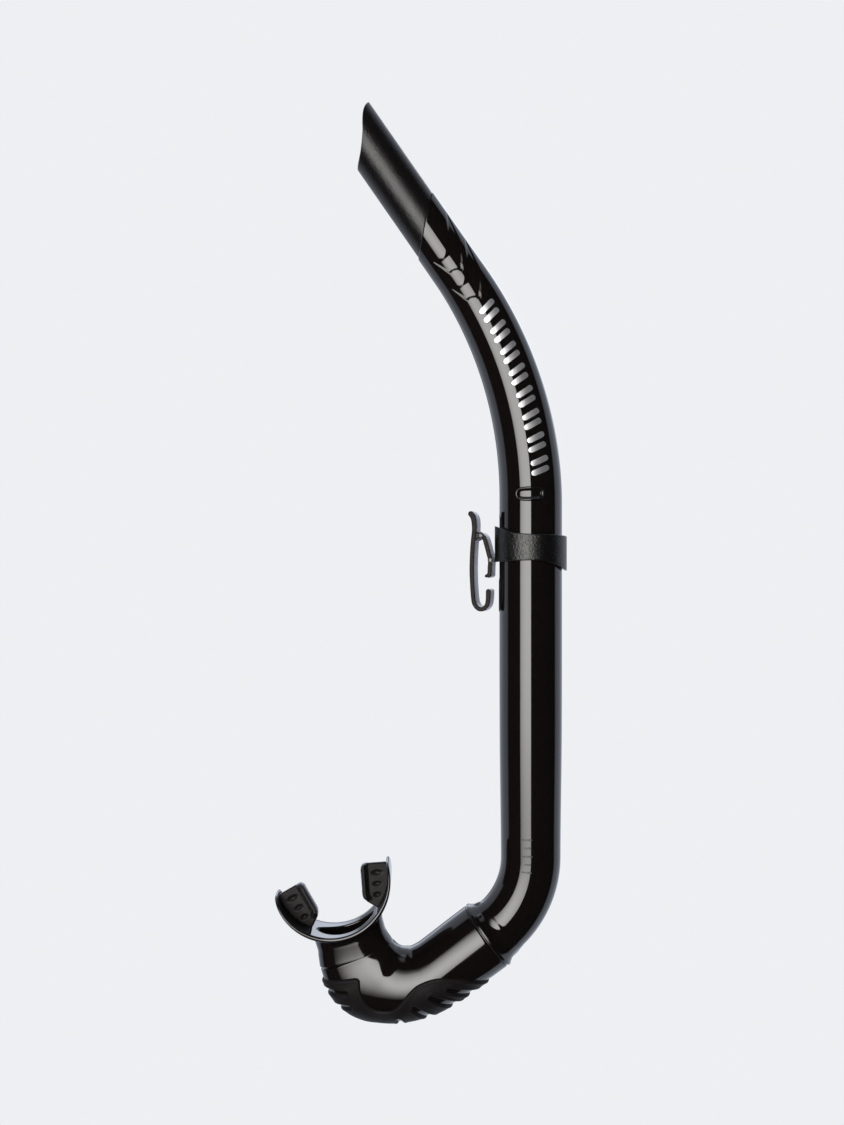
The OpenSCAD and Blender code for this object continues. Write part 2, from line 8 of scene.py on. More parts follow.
import bmesh
import bpy
import numpy as np
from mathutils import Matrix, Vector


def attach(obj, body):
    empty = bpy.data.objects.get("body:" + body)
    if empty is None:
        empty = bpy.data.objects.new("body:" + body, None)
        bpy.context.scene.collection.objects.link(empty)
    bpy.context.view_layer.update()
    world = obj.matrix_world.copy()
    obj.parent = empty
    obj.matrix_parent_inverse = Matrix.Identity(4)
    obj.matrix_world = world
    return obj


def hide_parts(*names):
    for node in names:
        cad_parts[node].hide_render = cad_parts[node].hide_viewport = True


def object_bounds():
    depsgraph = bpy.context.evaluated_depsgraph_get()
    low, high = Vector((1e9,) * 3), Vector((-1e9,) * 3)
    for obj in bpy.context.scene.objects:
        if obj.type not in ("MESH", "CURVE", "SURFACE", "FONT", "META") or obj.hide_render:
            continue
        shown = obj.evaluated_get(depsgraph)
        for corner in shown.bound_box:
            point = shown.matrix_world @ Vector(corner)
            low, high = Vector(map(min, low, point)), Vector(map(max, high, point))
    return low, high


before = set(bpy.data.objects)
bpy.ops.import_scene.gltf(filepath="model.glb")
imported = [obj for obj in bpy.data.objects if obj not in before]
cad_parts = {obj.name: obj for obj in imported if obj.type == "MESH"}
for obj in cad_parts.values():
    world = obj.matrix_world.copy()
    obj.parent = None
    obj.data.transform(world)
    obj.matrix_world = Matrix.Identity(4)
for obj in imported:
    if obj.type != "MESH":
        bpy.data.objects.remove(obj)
cad_box = [list(map(float, v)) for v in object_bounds()]

MM = 0.001
PI = math.pi


# ---------- small helpers ----------
def vec(*v):
    return np.array(v, float)


def angles(n):
    return np.arange(n) * 2 * PI / n


def smooth01(x):
    """Smooth step from 0 at x = 0 to 1 at x = 1."""
    x = np.clip(x, 0, 1)
    return x * x * (3 - 2 * x)


def fillet(points, closed=False, n=4):
    """Corners (x, y, cut) of an outline, each rounded over its cut length."""
    most = 0.49
    out = []
    m = len(points)
    for i, (x, y, cut) in enumerate(points):
        p = vec(x, y)
        if cut <= 0 or (not closed and i in (0, m - 1)):
            out.append(p)
            continue
        a = vec(*points[i - 1][:2]) - p
        b = vec(*points[(i + 1) % m][:2]) - p
        la, lb = np.linalg.norm(a), np.linalg.norm(b)
        d = min(cut, most * la, most * lb)
        p0, p1 = p + a / la * d, p + b / lb * d
        for k in range(n + 1):
            t = k / n
            out.append((1 - t) ** 2 * p0 + 2 * t * (1 - t) * p + t * t * p1)
    return np.array(out)


def densify(points, step, closed=False):
    """Long edges of an outline cut into pieces no longer than step."""
    pts = [np.asarray(p, float) for p in points]
    if closed:
        pts.append(pts[0])
    out = []
    for a, b in zip(pts[:-1], pts[1:]):
        n = max(1, int(math.ceil(np.linalg.norm(b - a) / step)))
        out += [a + (b - a) * k / n for k in range(n)]
    if not closed:
        out.append(pts[-1])
    return np.array(out)


def spline(points, per=8):
    """Smooth line through points."""
    p = [np.asarray(q, float) for q in points]
    out = []
    for i in range(len(p) - 1):
        a, b, c, d = p[max(0, i - 1)], p[i], p[i + 1], p[min(len(p) - 1, i + 2)]
        for k in range(per):
            t = k / per
            out.append(0.5 * (2 * b + (c - a) * t + (2 * a - 5 * b + 4 * c - d) * t * t
                              + (3 * b - a - 3 * c + d) * t ** 3))
    out.append(p[-1])
    return np.array(out)


def ease(x, xs, ys):
    """Monotone smooth curve through (xs, ys)."""
    x = np.asarray(x, float)
    xs, ys = np.asarray(xs, float), np.asarray(ys, float)
    h, d = np.diff(xs), np.diff(ys) / np.diff(xs)
    m = np.zeros_like(ys)
    m[0], m[-1] = d[0], d[-1]
    for i in range(1, len(xs) - 1):
        if d[i - 1] * d[i] > 0:
            m[i] = 2 * d[i - 1] * d[i] / (d[i - 1] + d[i])
    k = np.clip(np.searchsorted(xs, x, side="right") - 1, 0, len(xs) - 2)
    t = np.clip((x - xs[k]) / h[k], 0, 1)
    return ((1 + 2 * t) * (1 - t) ** 2 * ys[k] + t * (1 - t) ** 2 * h[k] * m[k]
            + t * t * (3 - 2 * t) * ys[k + 1] + t * t * (t - 1) * h[k] * m[k + 1])


def outline_distance(px, py, poly):
    """Signed distance, inside positive, from points to a closed outline."""
    best = np.full(px.shape, 1e9)
    inside = np.zeros(px.shape, bool)
    n = len(poly)
    for i in range(n):
        ax, ay = poly[i]
        bx, by = poly[(i + 1) % n]
        ex, ey = bx - ax, by - ay
        t = np.clip(((px - ax) * ex + (py - ay) * ey) / (ex * ex + ey * ey + 1e-12), 0, 1)
        best = np.minimum(best, (px - ax - t * ex) ** 2 + (py - ay - t * ey) ** 2)
        if ay != by:
            cross = (ay > py) != (by > py)
            inside ^= cross & (px < (bx - ax) * (py - ay) / (by - ay) + ax)
    best = np.sqrt(best)
    return np.where(inside, best, -best)


# ---------- frames of the part ----------
# straight lengths above and below the keeper, then the radius and angle of each bend
UP, DOWN = 20.0, 136.0
BEND_UP_R, BEND_UP = 175.0, math.radians(34.8)
BEND_LOW_R, BEND_LOW = 40.5, math.radians(53.5)
# straight piece between the lower bend and the seam
LOW_TAIL = 3.15
# path lengths from the keeper to the end of the upper bend and to the seam
T_TOP = UP + BEND_UP_R * BEND_UP
T_SEAM = DOWN + BEND_LOW_R * BEND_LOW + LOW_TAIL


def barrel_axis(t):
    """Centre and outward in-plane direction on the barrel's centre line, t mm up from the keeper."""
    t = np.asarray(t, float)
    a = np.clip((t - UP) / BEND_UP_R, 0, BEND_UP)
    b = np.clip((-t - DOWN) / BEND_LOW_R, 0, BEND_LOW)
    over_up = np.maximum(t - T_TOP, 0)
    over_low = np.maximum(-t - DOWN - BEND_LOW_R * BEND_LOW, 0)
    x = (-BEND_UP_R * (1 - np.cos(a)) - over_up * np.sin(a)
         - BEND_LOW_R * (1 - np.cos(b)) - over_low * np.sin(b))
    z = (np.clip(t, -DOWN, UP) + BEND_UP_R * np.sin(a) + over_up * np.cos(a)
         - BEND_LOW_R * np.sin(b) - over_low * np.cos(b))
    c = a - b
    return x, z, np.cos(c), np.sin(c)


def on_barrel(t, phi, r):
    """Point at angle phi round the barrel; -90 degrees faces the front."""
    x, z, nx, nz = barrel_axis(t)
    k = r * np.cos(phi)
    return np.stack(np.broadcast_arrays(x + k * nx, r * np.sin(phi), z + k * nz), -1)


def low_frame(x, y, s):
    """Point in the elbow's own frame: s runs from the seam along the tube, x to the inner side."""
    cx, cz, nx, nz = barrel_axis(-T_SEAM)
    sx, sz = -math.sin(BEND_LOW), -math.cos(BEND_LOW)
    return np.stack(np.broadcast_arrays(cx - x * nx + s * sx, y, cz - x * nz + s * sz), -1)


# elbow: straight length from the seam, radius and angle of its bend, and where the cuff begins
ELBOW_STRAIGHT, ELBOW_R, ELBOW_TURN = 30.4, 21.85, math.radians(109.5)
BEND_END = ELBOW_STRAIGHT + ELBOW_R * ELBOW_TURN
CUFF_S = BEND_END - 1.8
# how far the elbow's neck is squared off, and how much deeper its inner side is
SQUARE, LOPSIDED = 0.2, 0.09


def power(x, e):
    """Power of a number's size, with its sign kept."""
    return np.sign(x) * np.abs(x) ** e


def flattened(s, phi):
    """Unit oval at path length s: round at the seam, flat-sided and lopsided at the cuff."""
    s = np.asarray(s, float)
    e = 1 - SQUARE * smooth01((s - 50) / 16)
    c, q = power(np.cos(phi), e), power(np.sin(phi), e)
    return c, q * (1 + LOPSIDED * smooth01((s - 44) / 20) * c)


def elbow_plane(s, across):
    """Point in the bend's plane at path length s, across mm to the inner side of the centre line."""
    s = np.asarray(s, float)
    a = np.clip((s - ELBOW_STRAIGHT) / ELBOW_R, 0, ELBOW_TURN)
    d = np.maximum(s - BEND_END, 0) + np.minimum(s - ELBOW_STRAIGHT, 0)
    x = ELBOW_R * (1 - np.cos(a)) + d * np.sin(a) + across * np.cos(a)
    z = ELBOW_STRAIGHT + ELBOW_R * np.sin(a) + d * np.cos(a) - across * np.sin(a)
    return x, z


def on_elbow(s, phi, w, h):
    """Point of an oval ring of half sizes w (in plane) and h, at path length s from the seam."""
    c, q = flattened(s, phi)
    x, z = elbow_plane(s, w * c)
    return low_frame(x, h * q, z)


def on_mouth(u, y, v):
    """Point in the mouth frame: u across, y to the back, v out of the mouth."""
    ca, sa = math.cos(ELBOW_TURN), math.sin(ELBOW_TURN)
    x = ELBOW_R * (1 - ca) + u * ca + v * sa
    s = ELBOW_STRAIGHT + ELBOW_R * sa - u * sa + v * ca
    return low_frame(x, y, s)


# where the clip sits round the tube
CLIP_AT = math.radians(168)


def on_clip(x, y, z):
    """Point in the clip's frame: x away from the barrel's axis, y to the front."""
    c, s = math.cos(CLIP_AT), math.sin(CLIP_AT)
    return np.stack(np.broadcast_arrays(x * c - y * s, x * s + y * c, z), -1)


# ---------- mesh building ----------
def grid_faces(rows, cols, wrap_rows, wrap_cols):
    """Quads of a grid of points, closed along its rows, its columns, both or neither."""
    j = np.arange(rows if wrap_rows else rows - 1)[:, None]
    i = np.arange(cols if wrap_cols else cols - 1)[None, :]
    j1, i1 = (j + 1) % rows, (i + 1) % cols
    return np.stack(np.broadcast_arrays(j * cols + i, j * cols + i1, j1 * cols + i1, j1 * cols + i),
                    -1).reshape(-1, 4).tolist()


def build(name, verts, faces, finish, body, node=None, slot=None):
    """Mesh in mm on a body. It replaces a CAD node when node is given; the slot argument is not used."""
    mesh = bpy.data.meshes.new(name)
    mesh.from_pydata((np.asarray(verts, float).reshape(-1, 3) * MM).tolist(), [], faces)
    bm = bmesh.new()
    bm.from_mesh(mesh)
    bmesh.ops.recalc_face_normals(bm, faces=bm.faces)
    bm.to_mesh(mesh)
    bm.free()
    mesh.polygons.foreach_set("use_smooth", [True] * len(mesh.polygons))
    mesh.materials.append(finish)
    obj = bpy.data.objects.new(name, mesh)
    bpy.context.scene.collection.objects.link(obj)
    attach(obj, body)
    if node:
        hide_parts(node)
    return obj


def ring_mesh(name, grid, *rest, **more):
    """Closed in both directions: rows are profile points, columns go round."""
    rows, cols = grid.shape[:2]
    return build(name, grid, grid_faces(rows, cols, True, True), *rest, **more)


def capped_mesh(name, grid, *rest, **more):
    """Rows closed round, first and last row closed with a cap."""
    rows, cols = grid.shape[:2]
    faces = grid_faces(rows, cols, False, True)
    faces.append(list(range(cols)))
    faces.append([(rows - 1) * cols + i for i in range(cols)])
    return build(name, grid, faces, *rest, **more)


def plate(name, place, poly, low, high, *rest, rings=26, around=220, centre=None, edge=0.35, **more):
    """Thin closed plate over an outline in (a, b), with a rounded edge.

    place(a, b, h) gives the point at height h. The faces low and high are functions of (a, b) or numbers.
    """
    poly = densify(poly, 0.4, closed=True)
    c = vec(*centre) if centre is not None else poly.mean(0)
    rel = poly - c
    ang = np.unwrap(np.arctan2(rel[:, 1], rel[:, 0]))
    if ang[-1] < ang[0]:
        ang, rel = ang[::-1], rel[::-1]
    want = ang[0] + angles(around)
    ang = np.append(ang, ang[0] + 2 * PI)
    rad = np.append(np.linalg.norm(rel, axis=1), np.linalg.norm(rel[0]))
    reach = np.interp(want, ang, rad)

    def face(height, a, b):
        return height(a, b) if callable(height) else height + 0 * a

    def at(rho):
        return c[0] + rho * np.cos(want), c[1] + rho * np.sin(want)

    def flat(height, shares):
        for k in shares:
            a, b = at((reach - edge) * k)
            rows.append(place(a, b, face(height, a, b)))

    rows = []
    shares = np.linspace(0.04, 1, rings)
    flat(high, shares)
    steps = 5
    for k in range(1, 2 * steps):
        t = PI / 2 * k / steps
        a, b = at(reach - edge + edge * math.sin(t))
        top, bottom = face(high, a, b), face(low, a, b)
        rows.append(place(a, b, (top + bottom) / 2 + (top - bottom) / 2 * math.cos(t)))
    flat(low, shares[::-1])
    return capped_mesh(name, np.array(rows), *rest, **more)


# ---------- materials ----------
def mapped(tree, socket, from_low, from_high, low, high, smooth=False):
    """Socket's value carried from one range to another."""
    r = tree.nodes.new("ShaderNodeMapRange")
    if smooth:
        r.interpolation_type = "SMOOTHSTEP"
    for key, value in (("From Min", from_low), ("From Max", from_high), ("To Min", low), ("To Max", high)):
        r.inputs[key].default_value = value
    tree.links.new(socket, r.inputs["Value"])
    return r.outputs["Result"]


def combine(tree, how, a, b):
    """Two sockets, or a socket and a number, through one maths node."""
    m = tree.nodes.new("ShaderNodeMath")
    m.operation = how
    tree.links.new(a, m.inputs[0])
    if isinstance(b, float):
        m.inputs[1].default_value = b
    else:
        tree.links.new(b, m.inputs[1])
    return m.outputs[0]


def towards(tree, socket, colour, factor):
    """Socket's colour mixed towards a fixed colour."""
    mix = tree.nodes.new("ShaderNodeMix")
    mix.data_type = "RGBA"
    mix.inputs[7].default_value = (*colour, 1)
    tree.links.new(factor, mix.inputs["Factor"])
    tree.links.new(socket, mix.inputs[6])
    return mix.outputs[2]


# grey for the paled convex edges (rubbed wear and a painted edge highlight), and the bluish white of the
# painted sheen on grazing sides
WEAR_AND_HIGHLIGHT_GREY, PAINTED_SHEEN_COLOUR = (0.12, 0.12, 0.12), (0.85, 0.89, 0.96)
# cell sizes in mm: broad tint, slow change of roughness, patches of edge wear and painted edge highlight, slow
# waves in a moulded face
TINT_MM, ROUGH_MM, WEAR_AND_HIGHLIGHT_MM, WAVE_MM = 18.0, 6.0, 1.2, 14.0


def material(name, colour, rough, grain=(), tint=0.0, rough_var=0.0, spec=0.5, metal=0.0, wear_and_highlight=0.0,
             waves=0.0, painted_sheen=0.0):
    """Moulded plastic or rubber.

    grain is a list of (cell size mm, bump mm). The wear setting pales convex edges in patches, partly rubbed
    wear and partly a painted edge highlight; the sheer setting pales grazing sides towards bluish white, a
    painted sheen standing in for reflected light.
    """
    m = bpy.data.materials.new(name)
    m.use_nodes = True
    tree = m.node_tree
    n, link = tree.nodes, tree.links
    bsdf = n["Principled BSDF"]
    coord = n.new("ShaderNodeTexCoord")

    def noise(size_mm, detail):
        t = n.new("ShaderNodeTexNoise")
        t.inputs["Scale"].default_value = 1.0 / (size_mm * MM)
        t.inputs["Detail"].default_value = detail
        link.new(coord.outputs["Object"], t.inputs["Vector"])
        return t.outputs["Fac"]

    mix = n.new("ShaderNodeMix")
    mix.data_type = "RGBA"
    mix.inputs[6].default_value = (*[c * (1 - tint) for c in colour], 1)
    mix.inputs[7].default_value = (*[min(1, c * (1 + tint)) for c in colour], 1)
    link.new(noise(TINT_MM, 3.0), mix.inputs["Factor"])
    shade = mix.outputs[2]
    # painted highlight and wear: convex edges paled towards grey in noisy patches, partly rubbed wear, partly
    # standing in for light caught on the edges
    if wear_and_highlight:
        corners = n.new("ShaderNodeNewGeometry").outputs["Pointiness"]
        wear_and_highlight_mask = mapped(tree, corners, 0.52, 0.62, 0.0, wear_and_highlight)
        shade = towards(tree, shade, WEAR_AND_HIGHLIGHT_GREY, combine(tree, "MULTIPLY", wear_and_highlight_mask, noise(WEAR_AND_HIGHLIGHT_MM, 3.0)))
    # painted sheen: grazing sides paled towards bluish white, standing in for the reflection of the bright
    # surroundings
    if painted_sheen:
        facing = n.new("ShaderNodeLayerWeight")
        facing.inputs["Blend"].default_value = 0.5
        painted_sheen_mask = mapped(tree, facing.outputs["Facing"], 0.7, 0.82, 0.0, painted_sheen)
        shade = towards(tree, shade, PAINTED_SHEEN_COLOUR, painted_sheen_mask)
    link.new(shade, bsdf.inputs["Base Color"])
    uneven = mapped(tree, noise(ROUGH_MM, 4.0), 0.3, 0.7, rough - rough_var, rough + rough_var)
    link.new(uneven, bsdf.inputs["Roughness"])
    bsdf.inputs["Metallic"].default_value = metal
    bsdf.inputs["Specular IOR Level"].default_value = spec
    layers = [(size, height, 2.0) for size, height in grain]
    if waves:
        layers.append((WAVE_MM, waves, 1.0))
    normal = bsdf.inputs["Normal"]
    for size, height, detail in layers[::-1]:
        bump = n.new("ShaderNodeBump")
        bump.inputs["Strength"].default_value = 1.0
        bump.inputs["Distance"].default_value = height * MM
        link.new(noise(size, detail), bump.inputs["Height"])
        link.new(bump.outputs["Normal"], normal)
        normal = bump.inputs["Normal"]
    return m


GLOSS = material("gloss_black", (0.0042, 0.0030, 0.0027), 0.05, tint=0.2, rough_var=0.012,
                 grain=[(2.2, 0.0012)], waves=0.02)
SOFT_GLOSS = material("soft_gloss_black", (0.0042, 0.0030, 0.0027), 0.075, tint=0.2, rough_var=0.02,
                      grain=[(1.8, 0.0015)], waves=0.05)
SATIN = material("satin_black", (0.0042, 0.0034, 0.0033), 0.29, tint=0.15, rough_var=0.03,
                 grain=[(0.7, 0.1), (0.35, 0.03)], wear_and_highlight=0.1, spec=0.33)
GRAINED = material("grained_black", (0.003, 0.0026, 0.0025), 0.29, tint=0.15, rough_var=0.03,
                   grain=[(0.75, 0.24), (0.3, 0.02)], wear_and_highlight=0.1, spec=0.42)
PAD = material("pad_black", (0.004, 0.0036, 0.0035), 0.6, tint=0.15, rough_var=0.04, grain=[(0.4, 0.02)],
               spec=0.12)
TREAD = material("tread_rubber", (0.0075, 0.0062, 0.006), 0.5, tint=0.18, rough_var=0.05,
                 grain=[(0.5, 0.02), (3.0, 0.03)], wear_and_highlight=0.1, spec=0.1)
# bite rubber: its pale grazing rims are a painted sheen
BITE = material("bite_rubber", (0.009, 0.0076, 0.0072), 0.42, tint=0.12, rough_var=0.03,
                grain=[(0.45, 0.01)], wear_and_highlight=0.1, spec=0.14, painted_sheen=0.7)
WING = material("wing_rubber", (0.006, 0.0052, 0.005), 0.58, tint=0.12, rough_var=0.03,
                grain=[(0.45, 0.012)], spec=0.1)
# clip plastic: its whitish grazing sides are a painted sheen
CLIP = material("clip_plastic", (0.012, 0.0085, 0.007), 0.3, tint=0.15, rough_var=0.03,
                grain=[(0.5, 0.008)], wear_and_highlight=0.05, spec=0.05, painted_sheen=1.0)
PIN = material("pin_plastic", (0.12, 0.11, 0.105), 0.3, tint=0.1, rough_var=0.04, grain=[(0.6, 0.01)])
RING = material("collar_plastic", (0.012, 0.012, 0.013), 0.12, tint=0.1, rough_var=0.02,
                grain=[(1.5, 0.002)])
SEAL = material("seal_rubber", (0.012, 0.012, 0.012), 0.55, tint=0.15, rough_var=0.05, grain=[(0.5, 0.01)])
FOIL = material("silver_foil", (0.60, 0.60, 0.61), 0.45, tint=0.05, rough_var=0.05, metal=0.9,
                grain=[(0.5, 0.004)])
TICK = material("faint_print", (0.03, 0.03, 0.032), 0.4, tint=0.1, rough_var=0.04, grain=[(0.5, 0.004)])

# ---------- barrel ----------
# outside radii at the top of the bend, at the lower end and at the keeper
TOP_R, LOW_R, BARREL_R = 11.15, 13.1, 13.7
# air bore at the keeper and at the lower end, and inside the spigot
BORE_R, LOW_BORE_R, SPIGOT_BORE_R = 11.8, 10.6, 10.8
FLANGE_R, SPIGOT_R, SPIGOT_LEN = 15.85, 12.2, 14.0
# the upper taper starts gently, the lower one runs over a stretch below the keeper
TAPER_POWER, TAPER_FROM, TAPER_LEN = 1.35, 76, 64
TOP_TAPER = 0.0037
TIP_R, TIP_BORE_R, TONGUE_R = 10.55, 9.05, 9.9
# slanted seam: height above the upper bend on the axis, and slope across the tube
SEAM_MID, SEAM_TAN = 26.1, 10.0 / 10.9
TONGUE_FOOT = 6.0
# hollow round of the flare, an arc in the plane through the axis
FLARE_X, FLARE_S, FLARE_R = 23.15, -8.0, 10.3
FLARE_START = -9.0


def tapered(t, top, middle, low):
    """Radius along the barrel: middle at the keeper, top above the upper bend, low at the lower end."""
    a = np.clip((t - UP) / BEND_UP_R, 0, BEND_UP)
    up = middle + (top - middle) * (a / BEND_UP) ** TAPER_POWER
    return np.where(t > 0, up, middle + (low - middle) * smooth01((-t - TAPER_FROM) / TAPER_LEN))


def barrel_radius(t):
    t = np.asarray(t, float)
    return tapered(t, TOP_R, BARREL_R, LOW_R) - TOP_TAPER * np.maximum(t - T_TOP, 0)


def bore_radius(t):
    return tapered(np.asarray(t, float), TIP_BORE_R, BORE_R, LOW_BORE_R)


def seam_height(phi, r):
    """Height of the slanted seam above the top of the upper bend."""
    return SEAM_MID + SEAM_TAN * r * np.cos(phi)


def seam_t(phi, r):
    return T_TOP + seam_height(phi, r)


# upper edge of a crescent: degrees round the barrel, mm above the top of its bend
CRESCENT = spline([(-150, 12.4), (-135, 11.3), (-120, 10.0), (-107, 8.8), (-93, 10.0), (-80, 13.2),
                   (-65, 17.0), (-41, 22.5), (-10, 27.5)], 12)
CRESCENT_WIDTH, CRESCENT_DEPTH, CRESCENT_STEP = 7.4, 0.36, 14.3
CRESCENT_WALL, CRESCENT_LIP = 1.6, 0.8


def crescent_height(t, phi):
    """Two crescent hollows below the slanted seam: a wall on the upper edge, a sharper lip below."""
    mm_per_degree = 0.195
    deg = (np.degrees(phi) + 270) % 360 - 270
    deg = np.where(deg > 90, deg - 360, deg)
    width = CRESCENT_WIDTH * smooth01((deg + 143) / 36) * smooth01((-12 - deg) / 42)
    at, height = CRESCENT[:, 0], CRESCENT[:, 1]
    slope = np.interp(deg, at, np.gradient(height, at)) / mm_per_degree
    total = 0
    for drop in (0.0, CRESCENT_STEP):
        line = np.interp(deg, at, height) + T_TOP - drop
        d = (line - t) / np.sqrt(1 + slope ** 2)
        hollow = smooth01(d / CRESCENT_WALL) * smooth01((width - d) / CRESCENT_LIP)
        total = total - CRESCENT_DEPTH * hollow
    return total


# two low bumps on the flare, on the inner and the outer side of the bend
BUMP_S, BUMP_LONG, BUMP_WIDE, BUMP_HIGH = -5.2, 3.0, 2.3, 0.6


def flare_bumps(s, phi):
    total = 0
    for at in (0.0, PI):
        turn = np.angle(np.exp(1j * (phi - at)))
        d = np.hypot((s - BUMP_S) / BUMP_LONG, LOW_R * turn / BUMP_WIDE)
        total = total + BUMP_HIGH * np.clip(1 - d * d, 0, 1) ** 1.5
    return total


def flare_radius(s, phi):
    """Barrel wall running out into the flange along a soft hollow round."""
    arc = FLARE_X - math.sqrt(max(0.0, FLARE_R ** 2 - (s - FLARE_S) ** 2))
    soft = 0.5 * (arc + LOW_R) + 0.5 * math.sqrt((arc - LOW_R) ** 2 + 0.35)
    soft = LOW_R + (soft - LOW_R) * float(smooth01((s - FLARE_START) / 1.5))
    return np.minimum(max(LOW_R, soft) + flare_bumps(s, phi), FLANGE_R - 0.02)


def make_barrel():
    n = 208
    phi = angles(n)
    rows = []

    def add(t, r):
        rows.append(on_barrel(t, phi, r))

    # rounded edge at the slanted seam
    for d, dr in ((0.0, 0.34), (0.05, 0.14), (0.16, 0.03)):
        r = barrel_radius(T_TOP + SEAM_MID) - dr
        add(seam_t(phi, r) - d, r)
    # outside, with fine rows over the crescents
    fine, base, crescents_end = 0.4, T_TOP + 2.0, T_TOP - 22
    for k in np.linspace(1, 0, 76):
        t = base + k * (seam_t(phi, 11.0) - fine - base)
        add(t, barrel_radius(t) + crescent_height(t, phi))
    for t in np.arange(base - fine, crescents_end, -fine):
        add(t, barrel_radius(t) + crescent_height(t, phi))
    for t in np.linspace(crescents_end - 0.3, -DOWN, 150):
        add(t, barrel_radius(t))
    for t in np.linspace(-DOWN - 1, -(T_SEAM + FLARE_START), 34):
        add(t, barrel_radius(t))
    for s in np.concatenate([np.arange(FLARE_START + 0.35, -1.0, 0.33), [-0.92, -0.8, -0.73]]):
        add(-(T_SEAM + s), flare_radius(s, phi))
    # flange, spigot with its seal groove and snap bead, then back up the bore
    groove = 11.42
    end = fillet([(-0.7, FLANGE_R - 0.05, 0), (-0.55, FLANGE_R, 0.1), (0, FLANGE_R, 0.12), (0, SPIGOT_R, 0.2),
                  (5.2, SPIGOT_R, 0), (5.2, groove, 0), (7.2, groove, 0), (7.2, SPIGOT_R, 0),
                  (9.4, SPIGOT_R, 0.1), (10, SPIGOT_R + 0.5, 0.5), (10.6, SPIGOT_R, 0.1),
                  (SPIGOT_LEN, SPIGOT_R, 0.5), (SPIGOT_LEN, SPIGOT_BORE_R, 0.3), (-3.45, SPIGOT_BORE_R, 0.2)],
                 n=3)
    for s, r in end:
        add(-(T_SEAM + s), r)
    for t in np.linspace(-T_SEAM + 4.0, T_TOP, 150):
        add(t, bore_radius(t))
    # pocket for the tip's tongue
    pocket = TONGUE_R + 0.05
    for z, r in ((3, TIP_BORE_R), (TONGUE_FOOT - 0.01, TIP_BORE_R), (TONGUE_FOOT, pocket)):
        add(T_TOP + z, r)
    for k in np.linspace(0.05, 0.99, 24):
        add(T_TOP + TONGUE_FOOT + k * (seam_height(phi, pocket) - TONGUE_FOOT), pocket)
    add(seam_t(phi, pocket), pocket)
    return ring_mesh("barrel_shell", np.array(rows), GLOSS, "tube", node="barrel")


make_barrel()


def make_lug():
    """Oval stop ring on the front: a rounded rim that follows the barrel."""
    lug_t, half, rim, turn = 22.9, 3.2, 2.4, 1.4 / BARREL_R
    t = angles(160)
    # rim section: distance outside the rim line, height above the barrel
    profile = fillet([(-1.25, -0.35, 0), (-1.1, 0.05, 0.1), (-0.7, 0.35, 0.3), (-0.1, 0.9, 0.3),
                      (0.3, 0.95, 0.2), (0.6, 0.6, 0.2), (0.8, 0.0, 0.1), (0.8, -0.35, 0)], closed=True, n=4)
    straight = half * np.tanh(3 * np.cos(t)) / math.tanh(3)
    rows = []
    for off, lift in profile:
        out = rim + off
        phi = -PI / 2 - turn + (straight + out * np.cos(t)) / BARREL_R
        rows.append(on_barrel(lug_t + out * np.sin(t), phi, BARREL_R - 0.02 + lift))
    return ring_mesh("stop_lug", np.array(rows), GLOSS, "tube", slot="barrel")


make_lug()


# ---------- tip tube ----------
# mouth of the tip: height on the axis, rise to each side, and the waves of its S cut
MOUTH_MID, MOUTH_RISE, WAVE_HIGH, WAVE_LOW = 74.1, 10.5, 1.9, 0.9


def mouth_height(x):
    u = np.asarray(x, float) / TIP_R
    return MOUTH_MID + u * MOUTH_RISE + np.where(u > 0, WAVE_HIGH, WAVE_LOW) * np.sin(PI * u)


def make_tip():
    n = 208
    phi = angles(n)
    rows = []

    def add(z, r):
        rows.append(on_barrel(T_TOP + z, phi, r))

    def mouth(r):
        return mouth_height(r * np.cos(phi))

    def wall(lo, hi, shares, r):
        for k in shares:
            add(lo + k * (hi - lo), r)

    seam = seam_height(phi, TIP_R)
    add(seam_height(phi, TONGUE_R) + 0.02, TONGUE_R + 0.02)
    for d, dr in ((0.02, 0.2), (0.06, 0.06), (0.2, 0.0)):
        add(seam + d, TIP_R - dr)
    wall(seam + 0.2, mouth(TIP_R) - 0.3, np.linspace(0.012, 0.988, 90), TIP_R)
    # rounded lip of the mouth
    lip = 0.45
    for a in np.linspace(0, PI, 9):
        r = (TIP_R - lip if a < PI / 2 else TIP_BORE_R + lip) + lip * math.cos(a)
        add(mouth(r) - 0.4 * (1 - math.sin(a)), r)
    wall(TONGUE_FOOT + 0.3, mouth(TIP_BORE_R) - 0.4, np.linspace(0.99, 0.01, 90), TIP_BORE_R)
    # foot and outside of the tongue
    for d, r in ((0.02, TIP_BORE_R + 0.15), (0.02, TONGUE_R - 0.2), (0.2, TONGUE_R)):
        add(TONGUE_FOOT + d, r)
    wall(TONGUE_FOOT + 0.2, seam_height(phi, TONGUE_R), np.linspace(0.05, 0.99, 14), TONGUE_R)
    return ring_mesh("tip_shell", np.array(rows), SATIN, "tube", node="tip_tube")


make_tip()


# ---------- slide pad ----------
def pill(length, width, n=16):
    """Outline of a bar with round ends."""
    k, out = (length - width) / 2, []
    for side in (1, -1):
        for t in np.linspace(-PI / 2, PI / 2, n):
            out.append((side * (k + width / 2 * math.cos(t)), side * width / 2 * math.sin(t)))
    return np.array(out)


